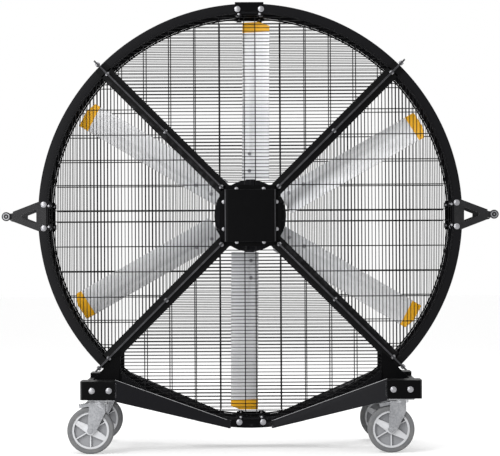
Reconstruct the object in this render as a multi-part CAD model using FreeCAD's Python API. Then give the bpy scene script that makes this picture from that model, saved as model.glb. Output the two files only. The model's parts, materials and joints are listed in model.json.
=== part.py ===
import FreeCAD, Part
import math
import os
from FreeCAD import Vector

os.makedirs("parts", exist_ok=True)

# Frame: +X to the right, the front guard faces -Y, +Z up, the origin on the floor under the hub.
# All lengths are millimetres. A name ending in share or shares is a ratio of another size.

# Fits
FIT = 0.05
SEAM = 0.2
RUNNING_GAP = 0.3
HOLE_CLEARANCE = 0.4
OVERRUN = 5.0

# Shroud ring, rolled in quarters that bolt together at ears
RING_RADIUS = 1075.0
RING_DEPTH = 305.0
RING_SHEET = 3.0
RING_FLANGE = 43.0
EAR_HEIGHT = 35.0
EAR_SHEET = 4.0
EAR_BOLT_SPREAD = 200.0

# Tie over the ring's top, plates at its bottom, and backing plates inside its flanges
GROUND_CLEARANCE = 106.0
TIE_SHEET = 6.0
TIE_LEG_SHEET = 5.0
TIE_LEG = 42.0
TOP_TIE_WIDTH = 145.0
BOTTOM_TIE_WIDTH = 231.0
RING_BOLT_INSET = 29.0
RING_BOLT_SPREAD = 120.0
BACKING_SHEET = 3.0
BACKING_WIDTH = 150.0
BACKING_MARGIN = 3.0
BACKING_STEP = 5.0

# Guard panels: angle arms on the diagonals, an inner bar, a narrow rim with screw tabs, and wires
ARM_SHEET = 4.0
ARM_LEG = 33.0
ARM_WEB = 38.0
ARM_ROOT = 120.0
ARM_END_INSET = 5.0
ARM_BOLT_DEPTH_SHARE = 0.58
ARM_BOLT_SHARES = [0.186, 0.543, 0.916, 0.979]
RIM_WIDTH = 8.0
RIM_TAB = 22.0
RIM_TAB_WIDTH = 26.0
RIM_TIE_GAP = 1.5
RIM_SCREW_SPREAD = 106.0
RIM_SCREW_SHANK = 3.0
RIM_SCREW_HEAD = 6.0
RIM_SCREW_HEAD_HEIGHT = 4.0
RIM_SCREW_NUT_HEIGHT = 5.0
BAR_WIDTH = 34.0
FINE_WIRE = 4.0
FINE_PITCH = 17.63
FIRST_WIRE_GAP = 25.0
CROSS_WIRE = 5.0
CROSS_PITCH = 127.5
CROSS_FIRST = 28.0
WIRE_INSET = 12.0
WIRE_END_GAP = 6.0

# Hub plates and the raised front cover
HUB_PLATE_WIDTH = 310.0
HUB_PLATE_SHEET = 5.0
HUB_PLATE_CORNER = 190.0
WEB_GAP = 5.0
HUB_BOLT_SIDE = 69.0
HUB_BOLT_OFFSET = 134.0
COVER_WIDTH = 264.0
COVER_DEPTH = 28.0
COVER_SHEET = 2.5
COVER_BEND = 19.0
COVER_POCKET_GAP = 1.0

# Motor
MOTOR_RADIUS = 105.0
MOTOR_WALL = 8.0
MOTOR_LENGTH = 126.5
MOTOR_END_WALL = 24.0
BEARING_RADIUS = 40.0
BEARING_WIDTH = 18.0
SHAFT_RADIUS = 19.0
SHAFT_END_GAP = 2.0
BELL_HOLE_GAP = 2.0
STATOR_BORE = 62.0
AIR_GAP = 2.0
CORE_LENGTH = 42.0
MOTOR_SCREW_CIRCLE = 82.0
MOTOR_SCREW_RADIUS = 4.0
MOTOR_SCREW_HEAD = 8.0
MOTOR_SCREW_SINK = 3.0
MOTOR_SCREW_REACH = 16.0

# Propeller
BLADE_COUNT = 6
BLADE_PITCH = 30.0
BLADE_TURN = 0.5
BLADE_CHORD = 158.0
BLADE_THICKNESS = 18.0
BLADE_TIP_GAP = 41.5
BLADE_AXIS_OFFSET = 30.0
BLADE_ROOT_GAP = 2.0
BLADE_CELL_GAP = 8.0
BLADE_CELL_WIDTH_SHARES = [0.10, 0.22]
BLADE_CELL_HEIGHT_SHARES = [0.30, 0.40]
BLADE_EDGE_SHARE = 0.055
BLADE_NOSE_SHARE = 0.33
BLADE_UPPER_SHARE = 0.55
BLADE_LOWER_SHARE = 0.45
BLADE_CREST_SHARE = 0.12
CAP_LENGTH = 52.0
CAP_PLUG = 40.0
CAP_SLOPE_SHARES = [0.38, 0.42]
DISC_RADIUS = 184.0
DISC_SHEET = 14.0
ROTOR_OFFSET = 33.0
BOSS_RADIUS = 45.0
BOSS_LENGTH = 70.0
SPAR_WIDTH = 50.0
SPAR_SHEET = 10.0
SPAR_ROOT_SHARE = 0.55
SPAR_REACH = 175.0
SPAR_GAP = 0.15
BLADE_BOLT_RADIUS = 5.0
BLADE_BOLT_HEAD = 9.0
BLADE_BOLT_HEAD_HEIGHT = 5.0
BLADE_BOLT_SHARES = [0.25, 0.75]
BLADE_SEAT_SHARE = 0.43

# Control box on the rear plate
BOX_WIDTH = 100.0
BOX_DEPTH = 75.0
BOX_TOP = 75.0
BOX_BOTTOM = 165.0
BOX_WALL = 3.0
BOARD_MARGIN = 14.0
BOARD_SHEET = 2.0
BOARD_POST = 12.0
BOARD_POST_RADIUS = 5.0
GLAND_RADIUS = 22.0
GLAND_DROP = 38.0
GLAND_NECK = 16.0
GLAND_NECK_LENGTH = 12.0
GLAND_BORE = 7.0
GLAND_CHAMFER = 4.0
KNOB_RADIUS = 22.0
KNOB_DEPTH = 20.0
KNOB_STEM = 5.0
KNOB_STEM_LENGTH = 14.0
KNOB_HEIGHT = 20.0
KNOB_POINTER = 4.0

# Side handles
HANDLE_OFFSET = 159.0
HANDLE_RADIUS = 15.0
HANDLE_EYE = 20.0
HANDLE_CAP_RADIUS = 23.0
HANDLE_CAP_LENGTH = 17.0
BRACKET_INSET = 42.0
BRACKET_FOOT = 75.0
BRACKET_NECK = 25.0
BRACKET_STEM = 16.0
BRACKET_HOLE_FOOT = 37.0
BRACKET_HOLE_TOP = 8.0
BRACKET_SHOULDER_SHARE = 0.19
BRACKET_NECK_SHARE = 0.84
BRACKET_HOLE_SHARES = [0.25, 0.62]

# Base
BEAM_WIDTH = 174.0
BEAM_LENGTH = 850.0
BEAM_HEIGHT = 70.0
BEAM_WALL = 5.0
BEAM_BLOCK_LENGTH = 150.0
BEAM_BLOCK_RISE = 22.0
BEAM_RING_GAP = 2.0
BEAM_BOLT_SPREAD = 84.0
GUSSET_SHEET = 5.0
GUSSET_WIDTH = 158.0
GUSSET_FOOT = 60.0
GUSSET_WEB_GAP = 14.0
GUSSET_BOLT_SHARES = [0.25, 0.75]
GUSSET_SOLE_SHARE = 0.81
RAIL_SHEET = 5.0
RAIL_LIP = 25.0
RAIL_DROP = 8.0
RAIL_RISE = 9.0
RAIL_END_HEIGHT = 41.0
RAIL_END_DROP = 1.5
RAIL_END_TAB = 12.0
RAIL_TAB = 36.0
RAIL_TAB_MARGIN = 12.0

# Casters
WHEEL_RADIUS = 116.0
CASTER_TRAIL = 51.5
CASTER_INSET = 13.0
CASTER_SETBACK = 60.0
CASTER_PLATE_SHEET = 6.0
CASTER_PLATE_LENGTH = 110.0
CASTER_PLATE_WIDTH = 124.0
CASTER_BOSS_RADIUS = 36.0
CASTER_BOSS_HEIGHT = 6.0
KINGPIN_RADIUS = 9.0
KINGPIN_PROUD = 6.0
FORK_CROWN = 9.7
FORK_HEADROOM = 15.0
FORK_SHEET = 5.0
FORK_LEG_GAP = 3.0
FORK_EYE = 16.0
FORK_NOSE = 23.0
FORK_CHEEK = 40.0
FORK_TOE = 30.0
FORK_HEEL = 12.0
FORK_STEP = 32.0
AXLE_RADIUS = 6.0
AXLE_HEAD = 10.0
AXLE_HEAD_LENGTH = 6.0
TYRE_WIDTH = 48.0
TYRE_HEIGHT = 24.0
TYRE_SHOULDER = 9.0
TYRE_SEAT_GAP = 0.1
CORE_RIM = 10.0
CORE_RIM_WIDTH = 40.0
CORE_HUB_RADIUS = 22.0
CORE_HUB_GAP = 0.5
SPOKE_COUNT = 6
CORE_WEB = 6.0
RIB_WIDTH = 6.0
RIB_DEPTH = 32.0
WIDE_SPOKE_STEP = 3
WIDE_SPOKE_FIRST = 2
WIDE_SPOKE_ROOT = 44.0
WIDE_SPOKE_END = 22.0
WIDE_SPOKE_DEPTH = 36.0

# Brake pedals
PEDAL_PIVOT_AHEAD = 4.0
PEDAL_PIVOT_LIFT = 19.0
PEDAL_PIN = 4.0
PEDAL_EYE = 7.0
PEDAL_LENGTH = 62.0
PEDAL_WIDTH = 44.0
PEDAL_SHEET = 6.0
PEDAL_SLOPE = 10.0
PEDAL_EYE_GAP = 0.5
PEDAL_RIB = 2.0
PEDAL_RIB_SHARES = [0.36, 0.52, 0.68, 0.84, 1.0]
PEDAL_FLANGE = 10.0
PEDAL_FLANGE_SHEET = 3.0
PEDAL_SHOE = 7.0
PEDAL_SHOE_WIDTH = 20.0
PEDAL_SHOE_SHARES = [0.75, 0.48]

# Bolts: shank, head and nut of the large and the small size
RING_BOLT_SHANK = 6.0
RING_BOLT_HEAD = 16.5
RING_BOLT_HEAD_HEIGHT = 9.0
RING_BOLT_NUT = 11.0
RING_BOLT_NUT_HEIGHT = 8.0
ARM_BOLT_SHANK = 5.0
ARM_BOLT_HEAD = 10.0
ARM_BOLT_HEAD_HEIGHT = 7.0
ARM_BOLT_NUT = 9.5
ARM_BOLT_NUT_HEIGHT = 8.0
DOME_SHARES = [0.55, 0.45]

# Levels and radii that several pieces share
HALF = RING_DEPTH / 2
HUB_HEIGHT = GROUND_CLEARANCE + RING_RADIUS
FLANGE_RADIUS = RING_RADIUS - RING_FLANGE
EAR_RADIUS = RING_RADIUS + EAR_HEIGHT
RIM_RADIUS = RING_RADIUS - TIE_LEG - RIM_TIE_GAP
WIRE_RADIUS = RIM_RADIUS - WIRE_END_GAP
RING_BOLT_RADIUS = RING_RADIUS - RING_BOLT_INSET
ARM_FACE = HALF + ARM_SHEET
PLATE_FACE = ARM_FACE + HUB_PLATE_SHEET
WEB_FACE = HALF + ARM_WEB
WEB_ROOT = HUB_PLATE_CORNER + WEB_GAP
BAR_INNER = HUB_BOLT_OFFSET - BAR_WIDTH / 2
BAR_OUTER = HUB_BOLT_OFFSET + BAR_WIDTH / 2
MOTOR_FRONT = ARM_FACE - MOTOR_LENGTH
TIP_RADIUS = FLANGE_RADIUS - BLADE_TIP_GAP
BLADE_ROOT = DISC_RADIUS + BLADE_ROOT_GAP
BLADE_END = TIP_RADIUS - CAP_LENGTH
SPAR_END = BLADE_ROOT + SPAR_REACH
HANDLE_X = RING_RADIUS + HANDLE_OFFSET
CROWN_BOTTOM = 2 * WHEEL_RADIUS + FORK_HEADROOM
CROWN_TOP = CROWN_BOTTOM + FORK_CROWN
BOSS_BOTTOM = CROWN_TOP + RUNNING_GAP
PLATE_BOTTOM = BOSS_BOTTOM + CASTER_BOSS_HEIGHT
BEAM_BOTTOM = PLATE_BOTTOM + CASTER_PLATE_SHEET
BEAM_TOP = BEAM_BOTTOM + BEAM_HEIGHT
BLOCK_TOP = BEAM_TOP + BEAM_BLOCK_RISE
BEAM_END = BEAM_LENGTH / 2
BEAM_INNER = math.sqrt(RING_RADIUS ** 2 - (HUB_HEIGHT - BEAM_TOP - BEAM_RING_GAP) ** 2)
BEAM_OUTER = BEAM_INNER + BEAM_WIDTH
GUSSET_OUTER = HUB_HEIGHT - BEAM_TOP - (SEAM + ARM_SHEET + GUSSET_WEB_GAP) * math.sqrt(2)
SOLE_OUTER = BEAM_INNER + BEAM_WIDTH * GUSSET_SOLE_SHARE
CASTER_X = (BEAM_INNER + BEAM_OUTER) / 2 - CASTER_INSET
CASTER_Y = BEAM_END - CASTER_SETBACK
LEG_INNER = TYRE_WIDTH / 2 + FORK_LEG_GAP
LEG_OUTER = LEG_INNER + FORK_SHEET
CORE_RADIUS = WHEEL_RADIUS - TYRE_HEIGHT
PIVOT_X = PEDAL_PIVOT_AHEAD - CASTER_TRAIL
PIVOT_Z = 2 * WHEEL_RADIUS + PEDAL_PIVOT_LIFT

HUB = Vector(0, 0, HUB_HEIGHT)
ALONG_X = Vector(1, 0, 0)
ALONG_Y = Vector(0, 1, 0)
ALONG_Z = Vector(0, 0, 1)
QUARTERS = ["top", "right", "bottom", "left"]
CORNERS = [("front_left", -1, -1), ("front_right", 1, -1), ("rear_left", -1, 1), ("rear_right", 1, 1)]


# Shape helpers

def box(x0, x1, y0, y1, z0, z1):
    """A block between two corners, whichever way round they are given."""
    low = Vector(min(x0, x1), min(y0, y1), min(z0, z1))
    return Part.makeBox(abs(x1 - x0), abs(y1 - y0), abs(z1 - z0), low)


def rod(radius, start, end):
    """A round bar between two points."""
    return Part.makeCylinder(radius, (end - start).Length, start, end - start)


def prism(points, travel):
    """A flat closed outline pushed along a vector."""
    return Part.Face(Part.makePolygon(points + [points[0]])).extrude(travel)


def plate(outline, y0, y1):
    """An outline of (x, height over the hub) points, thick from y0 to y1."""
    points = [Vector(x, min(y0, y1), HUB_HEIGHT + z) for x, z in outline]
    return prism(points, ALONG_Y * abs(y1 - y0))


def turned(profile, centre, axis, across, angle=360):
    """A profile of (radius, distance along the axis) points turned about that axis."""
    points = [centre + across * radius + axis * along for radius, along in profile]
    return Part.Face(Part.makePolygon(points + [points[0]])).revolve(centre, axis, angle)


def fused(shapes):
    """One solid from overlapping or touching shapes."""
    return shapes[0].multiFuse(shapes[1:]).removeSplitter().Solids[0]


def mirrored_x(shape):
    return shape.mirror(Vector(0, 0, 0), ALONG_X)


def mirrored_y(shape):
    return shape.mirror(Vector(0, 0, 0), ALONG_Y)


def quarter_turned(shape, turns):
    """The shape carried clockwise round the hub, as seen from the front."""
    copy = shape.copy()
    copy.rotate(HUB, ALONG_Y, 90 * turns)
    return copy


def faced_back(shape):
    """The shape turned half round the upright axis, from the front to the rear."""
    copy = shape.copy()
    copy.rotate(HUB, ALONG_Z, 180)
    return copy


def save(name, shapes):
    """Writes one sub-part, which may be several separate solids."""
    solids = [solid for shape in shapes for solid in shape.Solids]
    Part.makeCompound(solids).exportStep("parts/" + name + ".step")


# Bolts: the axis points from the head to the nut, the grip is what lies between them

def bolt(seat, axis, grip, shank, head, head_height, nut, nut_height):
    across = ALONG_Z if abs(axis.z) < abs(axis.x) + abs(axis.y) else ALONG_X
    across = (across - axis * across.dot(axis)).normalize()
    wide_share, low_share = DOME_SHARES
    profile = [(0, -head_height), (head * wide_share, -head_height), (head, -head_height * low_share),
               (head, 0), (shank, 0), (shank, grip), (nut, grip), (nut, grip + nut_height),
               (0, grip + nut_height)]
    return turned(profile, seat, axis, across)


def ring_bolt(seat, axis, grip):
    return bolt(seat, axis, grip, RING_BOLT_SHANK, RING_BOLT_HEAD, RING_BOLT_HEAD_HEIGHT,
                RING_BOLT_NUT, RING_BOLT_NUT_HEIGHT)


def arm_bolt(seat, axis, grip):
    return bolt(seat, axis, grip, ARM_BOLT_SHANK, ARM_BOLT_HEAD, ARM_BOLT_HEAD_HEIGHT,
                ARM_BOLT_NUT, ARM_BOLT_NUT_HEIGHT)


def rim_screw(seat, axis, grip):
    return bolt(seat, axis, grip, RIM_SCREW_SHANK, RIM_SCREW_HEAD, RIM_SCREW_HEAD_HEIGHT,
                RIM_SCREW_HEAD, RIM_SCREW_NUT_HEIGHT)


def hole(seat, axis, grip, shank):
    """The clearance hole of a bolt, past both faces of what it holds."""
    start = seat - axis * OVERRUN
    end = seat + axis * (grip + OVERRUN)
    return rod(shank + HOLE_CLEARANCE, start, end)


# Places of the bolts in the top quarter of the front face, as (seat, axis, grip)

def ring_bolt_places():
    """Two bolts of the top tie, through its front leg, the ring's flange and the backing plate."""
    sides = [-RING_BOLT_SPREAD / 2, RING_BOLT_SPREAD / 2]
    seat_y = -HALF - TIE_LEG_SHEET
    grip = TIE_LEG_SHEET + RING_SHEET + BACKING_SHEET
    return [(HUB + Vector(x, seat_y, RING_BOLT_RADIUS), ALONG_Y, grip) for x in sides]


def rim_screw_places():
    """Two screws through the tabs of the guard's rim and the backing plate."""
    grip = ARM_SHEET + RING_SHEET + BACKING_SHEET
    height = RIM_RADIUS - RIM_TAB / 2
    return [(HUB + Vector(x, -ARM_FACE, height), ALONG_Y, grip)
            for x in (-RIM_SCREW_SPREAD / 2, RIM_SCREW_SPREAD / 2)]


def hub_bolt_places():
    """Two bolts through the hub plate and the panel's inner bar."""
    return [(HUB + Vector(x, -PLATE_FACE, HUB_BOLT_OFFSET), ALONG_Y, HUB_PLATE_SHEET + ARM_SHEET)
            for x in (-HUB_BOLT_SIDE, HUB_BOLT_SIDE)]


def arm_axes(angle):
    """Unit vectors along an arm and square to it, anticlockwise as seen from the front."""
    turn = math.radians(angle)
    along = Vector(math.cos(turn), 0, math.sin(turn))
    return along, Vector(-math.sin(turn), 0, math.cos(turn))


def arm_bolt_places(angle):
    """The bolts that hold two arms back to back, along one diagonal."""
    along, square = arm_axes(angle)
    reach = SEAM + ARM_SHEET
    depth = ALONG_Y * -(HALF + ARM_WEB * ARM_BOLT_DEPTH_SHARE)
    return [(HUB + along * (EAR_RADIUS * share) + depth - square * reach, square, 2 * reach)
            for share in ARM_BOLT_SHARES]


def ear_bolt_places(angle):
    """The bolts through two touching ears of the ring."""
    along, square = arm_axes(angle)
    reach = SEAM + EAR_SHEET
    middle = HUB + along * (RING_RADIUS + EAR_HEIGHT / 2) - square * reach
    return [(middle + ALONG_Y * (EAR_BOLT_SPREAD / 2 * side), square, 2 * reach) for side in (-1, 1)]


# Shroud

def shroud_quarter():
    """The top quarter: a C-section turned through a right angle, with an ear at each end."""
    section = [(FLANGE_RADIUS, -HALF), (RING_RADIUS, -HALF), (RING_RADIUS, HALF), (FLANGE_RADIUS, HALF),
               (FLANGE_RADIUS, HALF - RING_SHEET), (RING_RADIUS - RING_SHEET, HALF - RING_SHEET),
               (RING_RADIUS - RING_SHEET, RING_SHEET - HALF), (FLANGE_RADIUS, RING_SHEET - HALF)]
    seam_angle = math.degrees(SEAM / FLANGE_RADIUS)
    start, _ = arm_axes(135 - seam_angle)
    pieces = [turned(section, HUB, ALONG_Y, start, 90 - 2 * seam_angle)]
    for angle, side in ((45, 1), (135, -1)):
        radii = (RING_RADIUS - RING_SHEET, EAR_RADIUS)
        pieces.append(arm_strip(angle, side, radii, EAR_SHEET, (-HALF, HALF)))
    holes = []
    for seat, axis, grip in ring_bolt_places():
        holes.append(hole(seat, axis, grip, RING_BOLT_SHANK))
        holes.append(mirrored_y(holes[-1]))
    for angle in (45, 135):
        holes += [hole(seat, axis, grip, ARM_BOLT_SHANK) for seat, axis, grip in ear_bolt_places(angle)]
    return fused(pieces).cut(holes)


def arm_strip(angle, side, radii, width, depths):
    """A straight strip beside a diagonal, on the side given, from its seam outwards."""
    along, square = arm_axes(angle)
    near = square * (side * SEAM)
    far = square * (side * (SEAM + width))
    lift = HUB + ALONG_Y * depths[0]
    inner = along * radii[0]
    outer = along * radii[1]
    points = [lift + inner + near, lift + outer + near, lift + outer + far, lift + inner + far]
    return prism(points, ALONG_Y * (depths[1] - depths[0]))


# Guards

def guard_frame():
    """The top panel's frame: two angle arms, the rim, its screw tabs and the bar that takes the hub bolts."""
    pieces = []
    for angle, side in ((45, 1), (135, -1)):
        flange = (ARM_ROOT, RING_RADIUS - ARM_END_INSET)
        pieces.append(arm_strip(angle, side, flange, ARM_LEG, (-ARM_FACE, -HALF)))
        pieces.append(arm_strip(angle, side, (WEB_ROOT, EAR_RADIUS), ARM_SHEET, (-WEB_FACE, -HALF)))
    rim = [(RIM_RADIUS - RIM_WIDTH, -ARM_FACE), (RIM_RADIUS, -ARM_FACE), (RIM_RADIUS, -HALF),
           (RIM_RADIUS - RIM_WIDTH, -HALF)]
    seam_angle = math.degrees(2 * SEAM / RIM_RADIUS)
    start, _ = arm_axes(135 - seam_angle)
    pieces.append(turned(rim, HUB, ALONG_Y, start, 90 - 2 * seam_angle))
    half = RIM_TAB_WIDTH / 2
    for seat, _, _ in rim_screw_places():
        pieces.append(box(seat.x - half, seat.x + half, -ARM_FACE, -HALF,
                          HUB_HEIGHT + RIM_RADIUS - RIM_TAB, HUB_HEIGHT + RIM_RADIUS - RIM_WIDTH / 2))
    skew = 2 * SEAM
    bar = [(skew - BAR_INNER, BAR_INNER), (BAR_INNER - skew, BAR_INNER),
           (BAR_OUTER - skew, BAR_OUTER), (skew - BAR_OUTER, BAR_OUTER)]
    pieces.append(plate(bar, -ARM_FACE, -HALF))
    holes = [hole(*place, ARM_BOLT_SHANK) for place in hub_bolt_places()]
    holes += [hole(*place, RIM_SCREW_SHANK) for place in rim_screw_places()]
    for angle in (45, 135):
        holes += [hole(*place, ARM_BOLT_SHANK) for place in arm_bolt_places(angle)]
    return fused(pieces).cut(holes)


def guard_wires():
    """The top panel's welded wires: close ones across it, on the frame, and a few along it behind them."""
    wires = []
    slack = WIRE_INSET * math.sqrt(2)
    height = BAR_OUTER + FIRST_WIRE_GAP
    while height + FINE_WIRE < WIRE_RADIUS:
        reach = min(height - slack, math.sqrt(WIRE_RADIUS ** 2 - (height + FINE_WIRE / 2) ** 2))
        low = HUB_HEIGHT + height - FINE_WIRE / 2
        wires.append(box(-reach, reach, -HALF, FINE_WIRE - HALF, low, low + FINE_WIRE))
        height += FINE_PITCH
    last = height - FINE_PITCH
    x = CROSS_FIRST
    while x + slack < math.sqrt(WIRE_RADIUS ** 2 - x ** 2) - FINE_PITCH:
        low = max(BAR_OUTER, x + slack)
        high = min(last, math.sqrt(WIRE_RADIUS ** 2 - (x + CROSS_WIRE) ** 2))
        for side in (-1, 1):
            left = side * x - CROSS_WIRE / 2
            wires.append(box(left, left + CROSS_WIRE, FINE_WIRE - HALF, FINE_WIRE + CROSS_WIRE - HALF,
                             HUB_HEIGHT + low, HUB_HEIGHT + high))
        x += CROSS_PITCH
    return fused(wires)


# Hub plates and cover

def hub_plate(rear):
    """A square plate with cut corners over the four inner bars; the rear one has sunk motor screw holes."""
    half = HUB_PLATE_WIDTH / 2
    cut = HUB_PLATE_CORNER * math.sqrt(2) - half
    outline = [(cut, half), (half, cut), (half, -cut), (cut, -half),
               (-cut, -half), (-half, -cut), (-half, cut), (-cut, half)]
    holes = [hole(seat, axis, grip, ARM_BOLT_SHANK) for seat, axis, grip in hub_bolt_places()]
    holes = [quarter_turned(one, turns) for turns in range(len(QUARTERS)) for one in holes]
    solid = plate(outline, -PLATE_FACE, -ARM_FACE).cut(holes)
    if not rear:
        return solid
    sinks = []
    for seat in motor_screw_seats():
        outside = seat + ALONG_Y * OVERRUN
        inside = seat - ALONG_Y * (HUB_PLATE_SHEET + OVERRUN)
        sinks.append(rod(MOTOR_SCREW_RADIUS + HOLE_CLEARANCE, outside, inside))
        sinks.append(rod(MOTOR_SCREW_HEAD + HOLE_CLEARANCE, outside, seat - ALONG_Y * MOTOR_SCREW_SINK))
    return faced_back(solid).cut(sinks)


def rounded_slab(half_width, half_height, back, front, bend):
    """A block in front of the hub whose two upright front edges are rounded."""
    shoulder = half_width - bend
    middle = bend * math.sqrt(0.5)
    right_side = [(shoulder, front), (half_width, front + bend), (half_width, back)]
    left_side = [(-x, y) for x, y in reversed(right_side)]
    corners = [Vector(x, y, 0) for x, y in left_side + right_side]
    left = Vector(-shoulder - middle, front + bend - middle, 0)
    right = Vector(shoulder + middle, front + bend - middle, 0)
    edges = [Part.LineSegment(corners[0], corners[1]), Part.Arc(corners[1], left, corners[2]),
             Part.LineSegment(corners[2], corners[3]), Part.Arc(corners[3], right, corners[4]),
             Part.LineSegment(corners[4], corners[5]), Part.LineSegment(corners[5], corners[0])]
    wire = Part.Wire([edge.toShape() for edge in edges])
    slab = Part.Face(wire).extrude(ALONG_Z * (2 * half_height))
    slab.translate(HUB - ALONG_Z * half_height)
    return slab


def hub_cover():
    """A folded cover over the front plate, open at its back, with pockets for the bolt heads it laps over."""
    half = COVER_WIDTH / 2
    inner = half - COVER_SHEET
    front = -PLATE_FACE - COVER_DEPTH
    shell = rounded_slab(half, half, -PLATE_FACE, front, COVER_BEND)
    shell = shell.cut(rounded_slab(inner, inner, -PLATE_FACE, front + COVER_SHEET, COVER_BEND - COVER_SHEET))
    pockets = []
    for seat, axis, _ in hub_bolt_places():
        depth = ARM_BOLT_HEAD_HEIGHT + COVER_POCKET_GAP
        pockets.append(rod(ARM_BOLT_HEAD + COVER_POCKET_GAP, seat, seat - axis * depth))
    return shell.cut([quarter_turned(one, turns) for turns in range(len(QUARTERS)) for one in pockets])


# Motor

def motor_screw_seats():
    """Four places on the rear plate's outer face, on the diagonals."""
    reach = MOTOR_SCREW_CIRCLE * math.sqrt(0.5)
    return [HUB + Vector(x * reach, PLATE_FACE, z * reach) for x in (-1, 1) for z in (-1, 1)]


def motor_screws():
    """Flat-headed screws, sunk in the rear plate, that hold the motor."""
    profile = [(0, 0), (MOTOR_SCREW_HEAD, 0), (MOTOR_SCREW_HEAD, MOTOR_SCREW_SINK),
               (MOTOR_SCREW_RADIUS, MOTOR_SCREW_SINK), (MOTOR_SCREW_RADIUS, MOTOR_SCREW_REACH),
               (0, MOTOR_SCREW_REACH)]
    return [turned(profile, seat, ALONG_Y * -1, ALONG_Z) for seat in motor_screw_seats()]


def motor_housing():
    """A cup on the rear plate and a bell that closes its front, each with a bearing seat."""
    inner = MOTOR_RADIUS - MOTOR_WALL
    seat = BEARING_RADIUS + FIT
    split = MOTOR_FRONT + MOTOR_END_WALL
    back = ARM_FACE - MOTOR_END_WALL
    cup = [(0, ARM_FACE), (MOTOR_RADIUS, ARM_FACE), (MOTOR_RADIUS, split), (inner, split), (inner, back),
           (seat, back), (seat, back + BEARING_WIDTH), (0, back + BEARING_WIDTH)]
    hole_radius = SHAFT_RADIUS + BELL_HOLE_GAP
    bell = [(hole_radius, MOTOR_FRONT), (MOTOR_RADIUS, MOTOR_FRONT), (MOTOR_RADIUS, split), (seat, split),
            (seat, split - BEARING_WIDTH), (hole_radius, split - BEARING_WIDTH)]
    taps = []
    for place in motor_screw_seats():
        taps.append(rod(MOTOR_SCREW_RADIUS + FIT, place, place - ALONG_Y * (MOTOR_SCREW_REACH + FIT)))
    return [turned(cup, HUB, ALONG_Y, ALONG_X).cut(taps), turned(bell, HUB, ALONG_Y, ALONG_X)]


def sleeve(inner, outer, start, end):
    """A plain ring about the hub axis."""
    return turned([(inner, start), (outer, start), (outer, end), (inner, end)], HUB, ALONG_Y, ALONG_X)


def motor_inside():
    """Bearings, stator and rotor core, by the name of their node."""
    rear = ARM_FACE - MOTOR_END_WALL
    front = MOTOR_FRONT + MOTOR_END_WALL
    bore = SHAFT_RADIUS + FIT
    bearings = [sleeve(bore, BEARING_RADIUS, rear, rear + BEARING_WIDTH),
                sleeve(bore, BEARING_RADIUS, front - BEARING_WIDTH, front)]
    start = (rear + front - CORE_LENGTH) / 2
    stator = sleeve(STATOR_BORE, MOTOR_RADIUS - MOTOR_WALL - FIT, start, start + CORE_LENGTH)
    core = sleeve(bore, STATOR_BORE - AIR_GAP, start, start + CORE_LENGTH)
    return {"motor_bearings": bearings, "motor_stator": [stator], "motor_rotor": [core]}


def motor_shaft():
    rear = ARM_FACE - MOTOR_END_WALL + BEARING_WIDTH - SHAFT_END_GAP
    front = -ROTOR_OFFSET - BOSS_LENGTH / 2 - SHAFT_END_GAP
    return rod(SHAFT_RADIUS, HUB + ALONG_Y * front, HUB + ALONG_Y * rear)


# Propeller: every blade is made pointing up and turned to its place about the hub axis

PITCH = math.radians(BLADE_PITCH)
CHORD_AXIS = Vector(-math.cos(PITCH), math.sin(PITCH), 0)
THICK_AXIS = Vector(math.sin(PITCH), math.cos(PITCH), 0)


def blade_point(chord, thick, radius):
    """A place on the blade: along the chord towards its leading edge, across it, and out from the hub."""
    return HUB + CHORD_AXIS * chord + THICK_AXIS * thick + Vector(0, -ROTOR_OFFSET, radius)


def blade_block(chords, thicks, radii):
    """A block in the blade's own directions."""
    corners = [(chords[0], thicks[0]), (chords[1], thicks[0]), (chords[1], thicks[1]), (chords[0], thicks[1])]
    points = [blade_point(chord, thick, radii[0]) for chord, thick in corners]
    return prism(points, ALONG_Z * (radii[1] - radii[0]))


def blade_section(start, end):
    """The blade's outline pushed outwards: a round nose, two arched faces and a blunt trailing edge."""
    nose = BLADE_CHORD / 2 - BLADE_AXIS_OFFSET
    tail = nose - BLADE_CHORD
    round_nose = BLADE_THICKNESS * BLADE_NOSE_SHARE
    blunt = BLADE_THICKNESS * BLADE_EDGE_SHARE
    crest = nose - BLADE_CHORD / 2 + BLADE_CHORD * BLADE_CREST_SHARE
    upper = BLADE_THICKNESS * BLADE_UPPER_SHARE
    lower = BLADE_THICKNESS * BLADE_LOWER_SHARE
    shoulder = nose - round_nose
    top = [blade_point(*place, start) for place in ((tail, blunt), (crest, upper), (shoulder, round_nose))]
    tip = blade_point(nose, 0, start)
    below = ((shoulder, -round_nose), (crest, -lower), (tail, -blunt))
    base = [blade_point(*place, start) for place in below]
    edges = [Part.Arc(*top), Part.Arc(top[-1], tip, base[0]), Part.Arc(*base),
             Part.LineSegment(base[-1], top[0])]
    wire = Part.Wire([edge.toShape() for edge in edges])
    return Part.Face(wire).extrude(ALONG_Z * (end - start))


def blade_cells():
    """The hollow cells before and behind the spar, as (chords, thicks)."""
    cells = []
    half = SPAR_WIDTH / 2 + SPAR_GAP
    for side, width_share, height_share in zip((1, -1), BLADE_CELL_WIDTH_SHARES, BLADE_CELL_HEIGHT_SHARES):
        near = side * (half + BLADE_CELL_GAP)
        far = near + side * BLADE_CHORD * width_share
        high = BLADE_THICKNESS * height_share / 2
        cells.append(((min(near, far), max(near, far)), (-high, high)))
    return cells


def blade_bolt_seats():
    """Two bolts through each blade and its spar, as (seat, axis, grip)."""
    lift = BLADE_THICKNESS * BLADE_SEAT_SHARE
    return [(blade_point(0, lift, BLADE_ROOT + SPAR_REACH * share), THICK_AXIS * -1, 2 * lift)
            for share in BLADE_BOLT_SHARES]


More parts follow.
